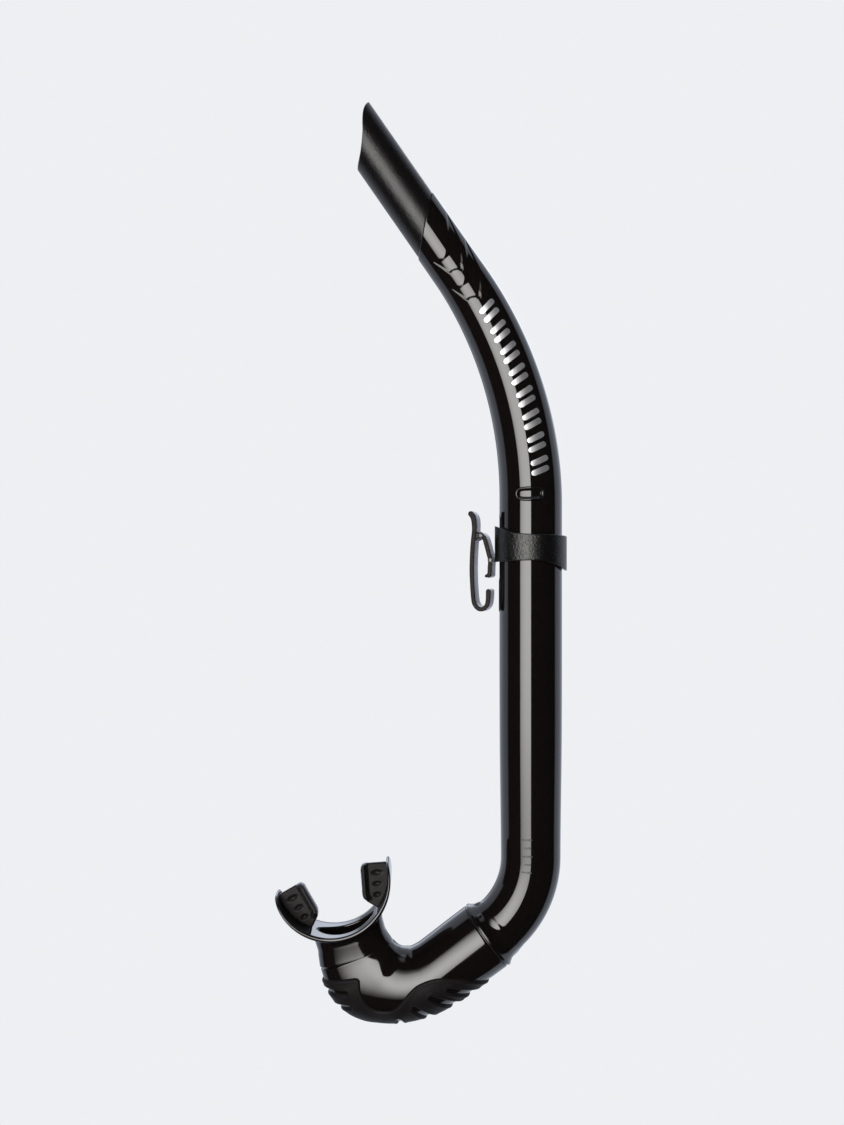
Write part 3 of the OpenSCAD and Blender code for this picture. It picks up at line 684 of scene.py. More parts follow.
def make_pad():
    """Strip let into the barrel behind the clip, thicker below the step."""
    low_z, high_z, half, step_z = -28.4, 15.0, 8.0, -13.6
    thin, thicker, sunk = 0.045, 0.25, -0.6
    mid = (low_z + high_z) / 2
    centre = math.radians(172)

    def place(a, b, h):
        return on_barrel(mid + a, centre + b / BARREL_R, BARREL_R + h)

    def top(a, b):
        return thin + thicker * smooth01((step_z - (mid + a)) / 1.2)
    return plate("side_pad", place, pill(high_z - low_z, 2 * half), sunk, top, PAD, "tube",
                 node="slide_pad", rings=40, around=300, edge=0.3)


make_pad()


# ---------- generic silver marks and ticks on the barrel ----------
# bars: number of pairs, height of the first, step, half gap in a pair, size and lean
PAIRS, FIRST_T, PAIR_STEP, PAIR_GAP = 8, 104.6, 9.98, 2.1
BAR_LONG, BAR_WIDE, BAR_LEAN = 8.8, 2.5, math.radians(18)
TICKS, TICK_T, TICK_STEP, TICK_TURN = 5, -126.5, 3.6, 0.18


def flat_mark(name, t0, gap, phi0, lean, outline, sunk, proud, finish, **more):
    """Thin plate on the barrel's front, its outline across and along the tube before the lean."""
    r0 = float(barrel_radius(t0))

    def place(a, b, h):
        x = a * math.cos(lean) - b * math.sin(lean)
        y = a * math.sin(lean) + b * math.cos(lean)
        t = t0 + gap + y
        return on_barrel(t, phi0 + x / r0, barrel_radius(t) + h)
    return plate(name, place, outline, sunk, proud, finish, "tube", slot="barrel", **more)


def make_marks():
    for i in range(PAIRS):
        t0 = FIRST_T - i * PAIR_STEP
        off = 1.6 + 2.3 * i / (PAIRS - 1)
        phi0 = -math.acos(off / float(barrel_radius(t0)))
        for letter, gap in (("a", PAIR_GAP), ("b", -PAIR_GAP)):
            flat_mark(f"mark_{i + 1}{letter}", t0, gap, phi0, BAR_LEAN, pill(BAR_LONG, BAR_WIDE, 8),
                      -0.25, 0.1, FOIL, rings=8, around=64, edge=0.12)
    for i in range(TICKS):
        length = 3.0 if i % 2 else 4.6
        flat_mark(f"tick_{i + 1}", TICK_T - TICK_STEP * i, 0.0, -PI / 2 - TICK_TURN, 0.0,
                  pill(length, 0.8, 6), -0.2, 0.05, TICK, rings=4, around=40, edge=0.1)


make_marks()


# ---------- keeper ----------
BAND_R, LINER_OUT = 15.8, 14.45
BAND_TOP, BAND_LOW = 5.6, -5.9


def band_top(x):
    """Upper edge: it sweeps up on the clip's side."""
    u = x / BAND_R
    return BAND_TOP + np.where(u < 0, 3.8 * np.abs(u) ** 2.6, -0.8 * u * u)


def band_low(x):
    """Lower edge: it sweeps down on the side away from the clip."""
    u = x / BAND_R
    return BAND_LOW - np.where(u < 0, 0.7 * u * u, 4.7 * np.abs(u) ** 2.2)


def make_band():
    n = 240
    phi = angles(n)
    rows = []

    def add(r, where, d):
        x = r * np.cos(phi)
        lo, hi = band_low(x) + d, band_top(x) - d
        rows.append(np.stack(np.broadcast_arrays(x, r * np.sin(phi), lo + where * (hi - lo)), -1))

    def corner(r, into, cut, where, turns):
        for a in turns:
            add(r + into * cut * (1 - math.cos(a)), where, cut * (1 - math.sin(a)))

    outer_cut, inner_cut = 0.45, 0.3
    outer_turns, inner_turns = np.linspace(0, PI / 2, 6), np.linspace(0, PI / 2, 4)
    corner(BAND_R, -1, outer_cut, 1.0, outer_turns)
    corner(LINER_OUT, 1, inner_cut, 1.0, inner_turns[::-1])
    for w in np.linspace(0.94, 0.06, 12):
        add(LINER_OUT, w, inner_cut)
    corner(LINER_OUT, 1, inner_cut, 0.0, inner_turns)
    corner(BAND_R, -1, outer_cut, 0.0, outer_turns[::-1])
    for w in np.linspace(0.03, 0.97, 22):
        add(BAND_R, w, outer_cut)
    return ring_mesh("band_shell", np.array(rows), GRAINED, "keeper", node="keeper_band")


make_band()

# ---------- clip ----------
# outlines are (distance from the barrel's axis, height above the keeper's middle)
HALF_DEPTH = 5.5
PIN_A, PIN_B = (21.35, 5.1), (17.05, -5.7)
PIN_HOLE_R = 0.66


def strip(name, line, wide, y0, y1, *rest, corner=0.42, **more):
    """Flat strip along a line in the clip's radial plane, from y0 to y1, with rounded edges and ends.

    wide is one width, or widths at even steps along the line.
    """
    line = densify(line, 0.22)
    arc = np.concatenate([[0], np.cumsum(np.linalg.norm(np.diff(line, axis=0), axis=1))])
    want = np.linspace(0, arc[-1], max(12, int(arc[-1] / 0.3)))
    px, pz = np.interp(want, arc, line[:, 0]), np.interp(want, arc, line[:, 1])
    tx, tz = np.gradient(px), np.gradient(pz)
    ln = np.hypot(tx, tz)
    tx, tz = tx / ln, tz / ln
    widths = np.atleast_1d(wide)
    half = np.interp(want / want[-1], np.linspace(0, 1, len(widths)), widths) / 2
    hy, cy = (y1 - y0) / 2, (y0 + y1) / 2
    rows = []

    def section(i, ahead=0.0, share=1.0):
        """Rounded rectangle at step i, moved ahead along the line and narrowed to a share of its width."""
        hx, back = half[i] * share, 0.25 * (1 - share)
        c = min(corner, hx * 0.98)
        pts = []
        for qx, qy, start in ((1, 1, 0), (-1, 1, 90), (-1, -1, 180), (1, -1, 270)):
            for d in range(0, 91, 18):
                a = math.radians(start + d)
                pts.append((qx * (hx - c) + c * math.cos(a), qy * (hy - c - back) + c * math.sin(a)))
        p = np.array(pts)
        x, z = px[i] + tx[i] * ahead, pz[i] + tz[i] * ahead
        rows.append(on_clip(x - tz[i] * p[:, 0], cy + p[:, 1], z + tx[i] * p[:, 0]))

    end_shares = [0.12, 0.4, 0.66, 0.87]
    for k in end_shares:
        section(0, -half[0] * math.sqrt(1 - k * k), k)
    for i in range(len(want)):
        section(i)
    for k in end_shares[::-1]:
        section(-1, half[-1] * math.sqrt(1 - k * k), k)
    return capped_mesh(name, np.array(rows), *rest, **more)


def turned(at, profile, n=48):
    """Rows of a turned piece on an axis across the clip: profile is (radius, y) pairs."""
    a = angles(n)
    return np.array([on_clip(at[0] + r * np.cos(a), y, at[1] + r * np.sin(a)) for r, y in profile])


def knuckle(name, at, r, half, *rest, **more):
    """Solid round between two ears."""
    profile = fillet([(0.05, -half, 0), (r, -half, 0.3), (r, half, 0.3), (0.05, half, 0)], n=4)
    return capped_mesh(name, turned(at, profile), *rest, **more)


def eye(name, at, r, y0, y1, *rest, **more):
    """Ring round a pin."""
    loop = fillet([(PIN_HOLE_R, y0, 0.05), (r, y0, 0.25), (r, y1, 0.25), (PIN_HOLE_R, y1, 0.05)],
                  closed=True, n=3)
    return ring_mesh(name, turned(at, loop), *rest, **more)


def make_arm():
    line = spline([(21.7, 5.55), (20.6, 5.0), (19.75, 3.7), (18.9, 0.8), (17.9, -3.0),
                   (PIN_B[0] + 0.2, PIN_B[1]), (17.4, -9), (17.5, -11.6), (17.9, -12.55)], 8)
    strip("clip_arm_strip", line, [1.8, 1.9, 1.9, 1.9, 1.9, 1.85, 1.9, 1.95], -HALF_DEPTH, HALF_DEPTH,
          CLIP, "arm", node="clip_arm")
    foot = spline([(17.35, -12.35), (18.3, -12.5), (19.0, -12.75)], 6)
    strip("clip_arm_foot", foot, [1.7, 1.75, 1.3], -HALF_DEPTH + 0.02, HALF_DEPTH - 0.02, CLIP, "arm",
          slot="clip_arm")
    inside, outside = 2.97, HALF_DEPTH + 0.02
    eye("clip_arm_boss", PIN_B, 1.24, inside, outside, CLIP, "arm", slot="clip_arm")
    eye("clip_arm_boss_back", PIN_B, 1.24, -outside, -inside, CLIP, "arm", slot="clip_arm")
    knuckle("clip_arm_knuckle", PIN_A, 1.3, 2.88, CLIP, "arm", slot="clip_arm")


def make_lever():
    """Long strip with a thumb curl above, a hook below and a pair of pronged ears on the lever pin."""
    line = spline([(25.75, 14.55), (24.9, 13.4), (24.4, 11.2), (24.3, 7.5), (25.0, 0.9), (25.4, -7.9),
                   (25.3, -14.5), (24.8, -22), (24.1, -25.2), (22.4, -27.1), (20.4, -27.2), (18.8, -25.8),
                   (18.2, -23.3), (18.05, -19.5)], 8)
    strip("clip_lever_strip", line, [2.6, 2.3, 2.0, 1.95, 2.0, 2.0, 2.0, 1.95, 1.95, 2.0, 1.95, 2.0, 2.15],
          -HALF_DEPTH, HALF_DEPTH, CLIP, "lever", node="clip_lever")
    inside, outside = 2.95, HALF_DEPTH - 0.03
    top = [(24.3, 6.9), (22.9, 6.35), (PIN_A[0] + 0.1, PIN_A[1] + 0.75)]
    low = [(24.5, 2.9), (23.0, 3.6), (PIN_A[0] + 0.1, PIN_A[1] - 0.75)]
    for side, y0, y1 in (("front", inside, outside), ("back", -outside, -inside)):
        for where, prong in (("top", top), ("low", low)):
            strip(f"clip_prong_{where}_{side}", prong, 0.95, y0, y1, CLIP, "lever", slot="clip_lever",
                  corner=0.3)
        eye(f"clip_lever_ear_{side}", PIN_A, 1.3, y0, y1, CLIP, "lever", slot="clip_lever")


def make_band_knuckle():
    """Knuckle of the band between the arm's ears, and the web that holds it."""
    knuckle("band_knuckle", PIN_B, 1.15, 2.9, GRAINED, "keeper", slot="keeper_band")
    z = PIN_B[1] + 0.05
    strip("band_knuckle_web", [(15.2, z), (PIN_B[0], z)], 1.9, -2.85, 2.85, GRAINED, "keeper",
          slot="keeper_band", corner=0.35)


def make_pin(name, body, at):
    """Headed pin: radius and height over the clip's side, from the head's middle to its underside."""
    head = [(0.06, 0.5), (0.5, 0.47), (0.8, 0.36), (0.97, 0.2), (1.0, 0.06), (0.95, 0.03), (0.6, 0.03)]
    front = [(r, HALF_DEPTH + over) for r, over in head]
    back = [(r, -y) for r, y in front[::-1]]
    capped_mesh(f"{name}_turned", turned(at, front + back), PIN, body, node=name)


make_arm()
make_lever()
make_band_knuckle()
make_pin("lever_pin", "arm", PIN_A)
make_pin("arm_pin", "keeper", PIN_B)

# ---------- elbow ----------
ELBOW_RAD = 15.7
# half sizes along the elbow's path: outer and inner side of the bend, and depth, for wall and air way
OUTER = [(0, ELBOW_RAD), (8, ELBOW_RAD), (14, 15.3), (26, 15.1), (32, 14.4), (38, 14.1), (42, 14.5),
         (46, 15.3), (50, 16.3), (54, 17.8), (58, 18.5), (62, 18.4), (66, 17.7), (BEND_END - 2, 16.7),
         (BEND_END + 3, 15.9), (BEND_END + 5.5, 15.4), (BEND_END + 9, 15.5), (BEND_END + 16, 19.0)]
INNER = [(0, ELBOW_RAD), (10, 15.6), (26, 15.3), (30, 15.8), (36, 16.7), (44, 17.2), (52, 17.6), (60, 17.7),
         (66, 17.5), (BEND_END, 17.0), (BEND_END + 3, 16.1), (BEND_END + 6, 15.6), (BEND_END + 9, 15.7),
         (BEND_END + 16, 19.3)]
DEEP = [(0, ELBOW_RAD), (ELBOW_STRAIGHT, ELBOW_RAD), (44, 14.9), (56, 13.4), (BEND_END, 11.1),
        (BEND_END + 5, 11.3), (BEND_END + 9, 12.7), (BEND_END + 16, 15.1)]
SLEEVE_BORE_R, SLEEVE_R, SLEEVE_END = 12.3, 13.6, 14.4
MOUTH_W, MOUTH_H = 13.4, 8.0
BORE_OUT = [(0, SLEEVE_BORE_R), (28, SLEEVE_BORE_R), (38, 11.8), (46, 12.6), (54, 14.4), (60, 15.0),
            (66, 14.4), (BEND_END, MOUTH_W), (BEND_END + 30, MOUTH_W)]
BORE_IN = [(0, SLEEVE_BORE_R), (ELBOW_STRAIGHT, SLEEVE_BORE_R), (44, 14.0), (56, 14.4), (BEND_END, MOUTH_W),
           (BEND_END + 30, MOUTH_W)]
BORE_DEEP = [(0, SLEEVE_BORE_R), (ELBOW_STRAIGHT, SLEEVE_BORE_R), (44, 12.2), (56, 10.9), (BEND_END, 8.6),
             (BEND_END + 8, MOUTH_H), (BEND_END + 30, MOUTH_H)]


def sized(s, table):
    """Smooth reading of a table of (path length, size)."""
    return ease(s, *zip(*table))


def two_sided(s, phi, outer, inner):
    """Half width in the bend's plane: one size on the outer side of the bend, one on the inner."""
    return np.where(np.cos(phi) < 0, sized(s, outer), sized(s, inner))


def half_w(s, phi):
    return two_sided(s, phi, OUTER, INNER)


def half_h(s):
    return sized(s, DEEP)


def make_elbow():
    n = 224
    phi = angles(n)
    rows = []
    lip = BEND_END + 2.6

    def add(s, w, h):
        rows.append(on_elbow(s, phi, w, h))

    # rounded rim at the seam, outside, then the step down to the lip under the mouthpiece's cuff
    for s, d in ((0.85, 0.5), (0.88, 0.28), (0.97, 0.12), (1.12, 0.02)):
        add(s, ELBOW_RAD - d, ELBOW_RAD - d)
    for s in np.linspace(1.5, CUFF_S - 0.25, 200):
        add(s, half_w(s, phi), half_h(s))
    w, h = half_w(CUFF_S, phi), float(half_h(CUFF_S))
    for s, d in ((CUFF_S - 0.04, 0.02), (CUFF_S, 0.1), (CUFF_S, 1.0), (CUFF_S + 0.12, 1.12),
                 (lip - 0.1, 1.12), (lip, 1.25)):
        add(s, w - d, h - d)
    # air way, then the seat of the sleeve
    for s in np.concatenate([[lip], np.linspace(lip - 0.3, 16, 90)]):
        add(s, two_sided(s, phi, BORE_OUT, BORE_IN), sized(s, BORE_DEEP))
    seat, end = SLEEVE_R + 0.02, SLEEVE_END + 0.02
    for s, r in ((end + 0.08, SLEEVE_BORE_R), (end, 12.5), (end, 13.5), (end - 0.12, seat), (1.2, seat),
                 (0.85, 13.9)):
        add(s, r, r)
    return ring_mesh("elbow_shell", np.array(rows), SOFT_GLOSS, "elbow", node="elbow")


make_elbow()


def make_sleeve():
    """Sleeve that the elbow turns on, with a collar in the seam and a groove for the spigot's bead."""
    phi = angles(192)
    bore, collar = SLEEVE_BORE_R - 0.04, 15.3
    loop = fillet([(0.15, bore, 0.1), (0.15, collar, 0.3), (0.84, collar, 0.3), (0.84, SLEEVE_R, 0.1),
                   (SLEEVE_END, SLEEVE_R, 0.3), (SLEEVE_END, bore, 0.3), (10.7, bore, 0.1), (10, 12.82, 0.5),
                   (9.3, bore, 0.1)], closed=True, n=4)
    rows = [on_elbow(s, phi, r, r) for s, r in loop]
    return ring_mesh("sleeve_ring", np.array(rows), RING, "elbow", node="coupling_sleeve")


make_sleeve()

# ---------- tread on the elbow ----------
# upper edge, in the elbow's own plane: (to the inner side, down from the seam)
WAVE = [(-15.8, 10.6), (-6.6, 17.8), (0.6, 25.9), (3.5, 33.4), (3.6, 39.3), (1.3, 48.1), (1.7, 52.9),
        (5.4, 57.4), (10.3, 58.5), (15.7, 57.2), (20.4, 54.9), (23.4, 59.7), (26.2, 65.8), (28.6, 69.6)]
# open slots: rounded inner end, direction in degrees, width
SLOTS = [(-6.1, 26, -143, 1.9), (-4.2, 34.2, -150, 1.9), (-3.7, 42.8, -165, 1.9), (-4.7, 52, 170, 1.7),
         (12.2, 65.3, 62, 1.3), (18.3, 63, 54, 1.3)]
GRIP_T, GRIP_UNDER = 1.05, 0.75
GRIP_FROM, GRIP_TO = 8.5, CUFF_S - 1.0
GRIP_SIDE = math.radians(62)


def tread_distance(s, phi, x, z):
    """Distance inside the tread's outline, over its surface grid."""
    zone = np.concatenate([spline(WAVE, 8), [(34, 80), (0, 86), (-36, 62), (-34, 9)]])
    dist = outline_distance(x, z, zone)
    for sx, sz, turn, wide in SLOTS:
        c, q = math.cos(math.radians(turn)), math.sin(math.radians(turn))
        along = np.clip((x - sx) * c + (z - sz) * q, 0, 16)
        away = np.hypot((x - sx) - along * c, (z - sz) - along * q)
        dist = np.minimum(dist, away - wide / 2 * (1 + 0.05 * along))
    end = np.minimum(s - GRIP_FROM, GRIP_TO - s)
    side = np.minimum(phi - GRIP_SIDE, 2 * PI - GRIP_SIDE - phi) * 12
    return np.minimum(dist, np.minimum(end, side) * 0.8)


def make_tread():
    s = np.linspace(GRIP_FROM, GRIP_TO, 250)[:, None]
    phi = np.linspace(GRIP_SIDE, 2 * PI - GRIP_SIDE, 300)[None, :]
    w, h = half_w(s, phi), half_h(s)
    x, z = elbow_plane(s, w * flattened(s, phi)[0])
    dist = tread_distance(s, phi, x, z)
    rounding = GRIP_T * np.sqrt(1 - (1 - np.clip(dist, 0, 1)) ** 2)
    lip = 0.16 * np.exp(-((dist - 1.0) / 0.55) ** 2)
    lift = np.where(dist > 0, rounding + lip - 0.1, np.maximum(-0.5, dist * 2.5) - 0.1)
    top = on_elbow(s, phi, w + lift, h + lift)
    under = on_elbow(s, phi, w - GRIP_UNDER, h - GRIP_UNDER)
    rows, cols = top.shape[:2]
    count = rows * cols
    faces = grid_faces(rows, cols, False, False)
    back = [[q + count for q in f] for f in faces]
    ring = (list(range(cols)) + [j * cols + cols - 1 for j in range(1, rows)]
            + [(rows - 1) * cols + i for i in range(cols - 2, -1, -1)]
            + [j * cols for j in range(rows - 2, 0, -1)])
    sides = [[a, b, b + count, a + count] for a, b in zip(ring, ring[1:] + ring[:1])]
    verts = np.concatenate([top.reshape(-1, 3), under.reshape(-1, 3)])
    return build("tread_shell", verts, faces + back + sides, TREAD, "elbow", node="elbow_grip")


make_tread()

# ---------- mouthpiece ----------
# lip shield: a piece of a cylinder, with its radius, thickness, half height, axis height and half arc
SHIELD_R, SHIELD_T, SHIELD_H, SHIELD_C, SHIELD_A = 25.9, 1.9, 15.0, 34.1, 41.0


def toward_tips(a):
    """0 at the middle of the shield, 1 at its wing tips."""
    return smooth01((np.abs(a) - 14) / 22)


def wall(a):
    """Thickness of the lip shield, thinner toward the wing tips."""
    return SHIELD_T - 0.9 * toward_tips(a)


def on_shield(a, y, r):
    """Point on the lip shield's cylinder: a is arc length across, measured on the outer radius."""
    q = a / SHIELD_R
    return r * np.sin(q), y, SHIELD_C - r * np.cos(q)


def shield_outline(t, grow=0.0):
    """Squared oval of the shield, laid flat."""
    k = 2 / 4.4
    return (SHIELD_A + grow) * power(np.cos(t), k), (SHIELD_H + grow) * power(np.sin(t), k)


def make_mouthpiece():
    n = 288
    # even spacing round the outline
    t0 = np.linspace(0, 2 * PI, 4001)
    a0, y0 = shield_outline(t0)
    arc = np.concatenate([[0], np.cumsum(np.hypot(np.diff(a0), np.diff(y0)))])
    t = np.interp(np.arange(n) / n * arc[-1], arc, t0)
    oa, oy = shield_outline(t)
    # matching angle on the mouth opening
    ot = np.arctan2(oy / SHIELD_H, oa / SHIELD_A)
    rows = []
    r_in, r_out = SHIELD_R - SHIELD_T, SHIELD_R
    bead = 1.18 - 0.62 * toward_tips(oa)
    foot_u, foot_y = 17.8, 12.7
    mouth_round, bore_top = 0.5, 0.45

    def add(u, y, v):
        rows.append(on_mouth(u, y, v))

    def face(k, r, inner=True):
        w, h = (MOUTH_W + mouth_round, MOUTH_H + mouth_round) if inner else (foot_u, foot_y)
        ma = SHIELD_R * np.arcsin(np.clip(w * np.cos(ot) / SHIELD_R, -1, 1))
        my = h * np.sin(ot)
        ea, ey = shield_outline(t, -bead)
        a = ma + k * (ea - ma)
        add(*on_shield(a, my + k * (ey - my), r - wall(a) if inner else r))

    # bore from the lip up to the opening
    for v in np.linspace(2.75, 6.0, 6):
        add(MOUTH_W * np.cos(ot), MOUTH_H * np.sin(ot), v)
    for k in np.linspace(0.2, 1, 10):
        u, y = MOUTH_W * np.cos(ot), MOUTH_H * np.sin(ot)
        top = SHIELD_C - np.sqrt(r_in ** 2 - u ** 2)
        add(u, y, 6.0 + k * (top - bore_top - 6.0))
    for k in (0.25, 0.6):
        u = (MOUTH_W + mouth_round * k) * np.cos(ot)
        y = (MOUTH_H + mouth_round * k) * np.sin(ot)
        top = SHIELD_C - np.sqrt(r_in ** 2 - u ** 2)
        add(u, y, top - bore_top * (1 - k) ** 1.5)
    # face to the mouth, beaded rim, face to the front
    for k in np.linspace(0, 1, 26):
        face(k, r_out)
    mid = r_out - wall(oa) / 2 - 0.12
    for b in np.linspace(-PI * 0.36, PI * 0.36, 11):
        ea, ey = shield_outline(t, -bead + bead * math.cos(b))
        add(*on_shield(ea, ey, mid + bead * math.sin(b)))
    for k in np.linspace(1, 0, 22):
        face(k, r_out, inner=False)
    # fillet from the shield down to the cuff: a curve whose ends leave along the neck and the shield
    u1 = foot_u * np.cos(ot)
    y1 = foot_y * np.sin(ot)
    v1 = SHIELD_C - np.sqrt(r_out ** 2 - u1 ** 2)
    v0 = 5.2 + 3.0 * np.cos(ot) ** 2

    def neck(v, cut=0.0):
        w = two_sided(BEND_END + v, ot, OUTER, INNER)
        c, q = flattened(BEND_END + v, ot)
        return (w - cut) * c, (half_h(BEND_END + np.minimum(v, 5)) - cut) * q

    u0, y0 = neck(v0)
    p0 = np.stack([u0, y0, v0], -1)
    p1 = np.stack([u1, y1, v1], -1)
    tan1 = np.stack([np.cos(ot) * np.cos(np.arcsin(u1 / r_out)), np.sin(ot), np.cos(ot) * u1 / r_out], -1)
    reach = np.linalg.norm(p1 - p0, axis=1)[:, None]
    m0, m1 = vec(0, 0, 1) * reach * 1.2, tan1 * reach * 0.75
    for k in np.linspace(0.96, 0, 22):
        p = ((1 + 2 * k) * (1 - k) ** 2 * p0 + k * (1 - k) ** 2 * m0 + k * k * (3 - 2 * k) * p1
             + k * k * (k - 1) * m1)
        add(p[:, 0], p[:, 1], p[:, 2])
    # cuff, its lower edge, and the socket over the elbow's lip
    cuff_v = -1.6
    for k in np.linspace(0.9, 0, 10):
        v = cuff_v + k * (v0 - cuff_v)
        add(*neck(v), v)
    for v, d in ((cuff_v - 0.12, 0.02), (cuff_v - 0.16, 0.1), (cuff_v - 0.16, 0.9), (cuff_v, 1.05)):
        add(*neck(-1.7, d), v)
    for v, u, y in ((cuff_v, 14.27, 9.87), (2.6, 14.27, 9.87), (2.75, 14.12, 9.72)):
        add(u * np.cos(ot), y * np.sin(ot), v)
    return ring_mesh("mouth_shell", np.array(rows), SOFT_GLOSS, "elbow", node="mouthpiece")


make_mouthpiece()


def wing_pad(side, name):
    """Matte lining on the inner face of a wing."""
    pts = []
    for t in np.linspace(-PI / 2, PI / 2, 40):
        a, y = shield_outline(np.array(t), -1.0)
        pts.append((float(a), float(y)))
    a_in = 18.0
    poly = [p for p in pts if p[0] > a_in]
    poly = [(a_in, poly[0][1])] + poly + [(a_in, poly[-1][1])]

    def place(a, b, h):
        u, y, v = on_shield(a, b, SHIELD_R - wall(a) - h)
        return on_mouth(side * u, y, v)
    return plate(name, place, poly, -0.5, 0.32, WING, "elbow", slot=name.replace("wing_pad", "bite_tab"),
                 rings=24, around=200, edge=0.3)


def bite_tab(side, name):
    c = SHIELD_C
    corners = fillet([(24.1, c - 0.6, 0.2), (14.5, c + 1.6, 1.3), (12.9, c + 0.4, 1.1), (10.1, c - 12, 2.2),
                      (10.9, c - 14.6, 1.2), (14.9, c - 18.9, 0.4)], n=5)
    lo, hi = math.atan2(-18.9, 14.9), math.atan2(-0.6, 24.1)
    q = np.linspace(lo, hi, 24)[1:-1]
    root = SHIELD_R - wall(SHIELD_R * (PI / 2 + q)) + 0.3
    arc = np.stack([root * np.cos(q), c + root * np.sin(q)], -1)
    poly = np.concatenate([corners, arc])

    def inner_edge(v):
        return np.interp(v, [c - 19, c - 14.6, c - 12, c + 0.4, c + 1.6], [14.6, 10.9, 10.1, 12.9, 13.9])

    def height(u, v):
        d = u - inner_edge(v)
        near = np.minimum(smooth01((v - (c - 15.0)) / 2.4), smooth01((c + 2.0 - v) / 1.2))
        ridge = 2.55 * (1 - smooth01((d - 1.7) / 2.0)) * near
        h = 1.5 + ridge
        for k, (lg, wd) in enumerate(((6.0, 3.1), (4.8, 2.8), (4.3, 3.0))):
            du, dv = u - (19.3 - 1.3 * k), v - (c - 4.0 - 4.65 * k)
            q = math.radians(-12)
            ru, rv = du * math.cos(q) + dv * math.sin(q), -du * math.sin(q) + dv * math.cos(q)
            e = np.sqrt((ru / (lg / 2)) ** 2 + (rv / (wd / 2)) ** 2)
            h = h - 0.75 * (1 - smooth01((e - 0.1) / 0.95))
        return h

    def place(a, b, h):
        return on_mouth(side * a, -h, b)
    return plate(name, place, poly, lambda a, b: -height(a, b), height, BITE, "elbow",
                 node=name.replace("_plate", ""), rings=96, around=420, centre=(18.2, c - 7.6), edge=0.85)


for side, word in ((1, "right"), (-1, "left")):
    bite_tab(side, f"bite_tab_{word}_plate")
    wing_pad(side, f"wing_pad_{word}")

# ---------- CAD nodes that stay ----------
for node, finish in (("spigot_seal", SEAL), ("keeper_liner", SEAL)):
    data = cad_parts[node].data
    data.materials.clear()
    data.materials.append(finish)

# ---------- studio ----------
BACK = (0.850, 0.864, 0.887)


def emissive(name, colour, strength, camera_only=False):
    m = bpy.data.materials.new(name)
    m.use_nodes = True
    t = m.node_tree
    t.nodes.clear()
    out = t.nodes.new("ShaderNodeOutputMaterial")
    e = t.nodes.new("ShaderNodeEmission")
    e.inputs["Color"].default_value = (*colour, 1)
    e.inputs["Strength"].default_value = strength
    if camera_only:
        path = t.nodes.new("ShaderNodeLightPath")
        diff = t.nodes.new("ShaderNodeBsdfDiffuse")
        diff.inputs["Color"].default_value = (0.75, 0.76, 0.78, 1)
        mix = t.nodes.new("ShaderNodeMixShader")
        t.links.new(path.outputs["Is Camera Ray"], mix.inputs[0])
        t.links.new(diff.outputs[0], mix.inputs[1])
        t.links.new(e.outputs[0], mix.inputs[2])
        t.links.new(mix.outputs[0], out.inputs["Surface"])
    else:
        t.links.new(e.outputs[0], out.inputs["Surface"])
    return m


def stage_plane(name, centre, x_axis, y_axis, mat, camera=True):
    c, x, y = (np.array(v, float) for v in (centre, x_axis, y_axis))
    mesh = bpy.data.meshes.new(name)
    mesh.from_pydata([(c - x - y).tolist(), (c + x - y).tolist(), (c + x + y).tolist(), (c - x + y).tolist()],
                     [], [(0, 1, 2, 3)])
    mesh.materials.append(mat)
    obj = bpy.data.objects.new(name, mesh)
    bpy.context.scene.collection.objects.link(obj)
    obj.visible_camera = camera
    obj.visible_shadow = camera
    return obj


floor_z = cad_box[0][2] - 0.06
floor = stage_plane("floor", (0, 0, floor_z), (6, 0, 0), (0, 6, 0),
                    emissive("floor_pale", BACK, 1.0, camera_only=True))
floor.visible_glossy = False

def soft_light(left, right):
    """Soft box cloth: brightest in the middle, weaker at the top, the bottom and the far side."""
    m = emissive("soft_box_light", (1.0, 0.985, 0.97), 10.0)
    t = m.node_tree
    place = t.nodes.new("ShaderNodeNewGeometry")
    split = t.nodes.new("ShaderNodeSeparateXYZ")
    t.links.new(place.outputs["Position"], split.inputs[0])

    def falloff(axis, low, high, stops):
        span = t.nodes.new("ShaderNodeMapRange")
        span.inputs["From Min"].default_value = low
        span.inputs["From Max"].default_value = high
        t.links.new(split.outputs[axis], span.inputs["Value"])
        ramp = t.nodes.new("ShaderNodeValToRGB")
        ramp.color_ramp.interpolation = "B_SPLINE"
        marks = ramp.color_ramp.elements
        for k, (at, level) in enumerate(stops):
            mark = marks[0] if k == 0 else marks[-1] if k == len(stops) - 1 else marks.new(at)
            mark.position = at
            mark.color = (level, level, level, 1)
        t.links.new(span.outputs["Result"], ramp.inputs["Fac"])
        return ramp.outputs["Color"]
    up = falloff("Z", -1.0, 1.3, [(0.02, 0.05), (0.12, 0.2), (0.24, 0.6), (0.36, 1.0), (0.48, 1.0), (0.6, 0.75),
                                  (0.72, 0.55), (0.82, 0.15), (0.95, 0.03)])
    side = falloff("X", left, right, [(0.01, 0.3), (0.06, 0.62), (0.3, 0.85), (0.6, 1.0), (0.97, 1.0),
                                      (0.99, 0.8)])
    times = t.nodes.new("ShaderNodeMath")
    times.operation = "MULTIPLY"
    t.links.new(up, times.inputs[0])
    t.links.new(side, times.inputs[1])
    power = t.nodes.new("ShaderNodeMath")
    power.operation = "MULTIPLY"
    power.inputs[1].default_value = 10.0
    t.links.new(times.outputs[0], power.inputs[0])
    emission = next(q for q in t.nodes if q.type == "EMISSION")
    t.links.new(power.outputs[0], emission.inputs["Strength"])
    return m


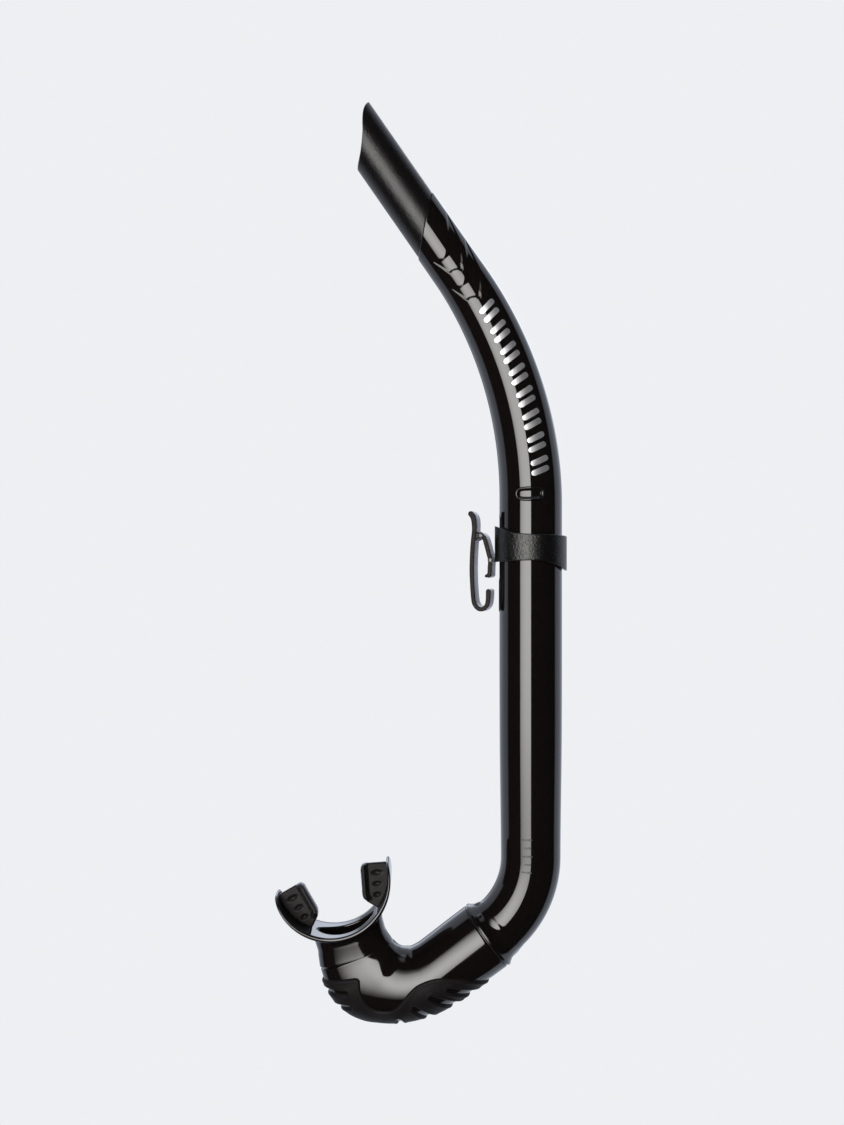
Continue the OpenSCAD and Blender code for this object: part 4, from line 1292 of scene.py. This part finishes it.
# one tall soft box to the left of the camera
SOFT_DIST = 1.35
az0, az1 = math.radians(3), math.radians(43)
left, right = -SOFT_DIST * math.tan(az1), -SOFT_DIST * math.tan(az0)
stage_plane("soft_box", ((left + right) / 2, -SOFT_DIST, 0.15), ((right - left) / 2, 0, 0), (0, 0, 1.15),
            soft_light(left, right), camera=False)


def make_world():
    world = bpy.data.worlds.new("studio")
    world.use_nodes = True
    t = world.node_tree
    t.nodes.clear()
    out = t.nodes.new("ShaderNodeOutputWorld")
    coord = t.nodes.new("ShaderNodeTexCoord")
    split = t.nodes.new("ShaderNodeSeparateXYZ")
    t.links.new(coord.outputs["Generated"], split.inputs[0])

    def ramp(socket, from_min, from_max, to_min, to_max):
        r = t.nodes.new("ShaderNodeMapRange")
        r.interpolation_type = "SMOOTHSTEP"
        for key, value in (("From Min", from_min), ("From Max", from_max), ("To Min", to_min),
                           ("To Max", to_max)):
            r.inputs[key].default_value = value
        t.links.new(socket, r.inputs["Value"])
        return r.outputs["Result"]
    def combine(how, a, b):
        m = t.nodes.new("ShaderNodeMath")
        m.operation = how
        t.links.new(a, m.inputs[0])
        t.links.new(b, m.inputs[1])
        return m.outputs[0]
    y, z = split.outputs["Y"], split.outputs["Z"]
    height = t.nodes.new("ShaderNodeMath")
    height.operation = "ABSOLUTE"
    t.links.new(z, height.inputs[0])
    behind = ramp(y, 0.06, 0.2, 0.02, 0.9)
    core = combine("MAXIMUM", ramp(y, 0.88, 0.985, 1.0, 0.3), ramp(height.outputs[0], 0.04, 0.12, 0.0, 1.0))
    sheen = combine("MULTIPLY", ramp(y, 0.75, 0.93, 0.0, 1.0), ramp(z, 0.08, 0.3, 0.0, 1.5))
    overhead = ramp(z, 0.94, 0.99, 0.0, 0.9)
    level = combine("ADD", combine("ADD", combine("MULTIPLY", behind, core), sheen), overhead)
    around = t.nodes.new("ShaderNodeBackground")
    around.inputs["Color"].default_value = (0.80, 0.87, 1.0, 1)
    t.links.new(level, around.inputs["Strength"])
    seen = t.nodes.new("ShaderNodeBackground")
    seen.inputs["Color"].default_value = (*BACK, 1)
    path = t.nodes.new("ShaderNodeLightPath")
    mix = t.nodes.new("ShaderNodeMixShader")
    t.links.new(path.outputs["Is Camera Ray"], mix.inputs[0])
    t.links.new(around.outputs[0], mix.inputs[1])
    t.links.new(seen.outputs[0], mix.inputs[2])
    t.links.new(mix.outputs[0], out.inputs["Surface"])
    bpy.context.scene.world = world


make_world()

camera_data = bpy.data.cameras.new("camera")
camera_data.lens = 48.53
camera_data.sensor_width = 36.0
camera_data.sensor_fit = "AUTO"
camera = bpy.data.objects.new("camera", camera_data)
camera.location = (-0.0478, -0.667, -0.0068)
camera.rotation_euler = (PI / 2, 0, 0)
bpy.context.scene.collection.objects.link(camera)
bpy.context.scene.camera = camera
bpy.context.scene.view_settings.view_transform = "Standard"
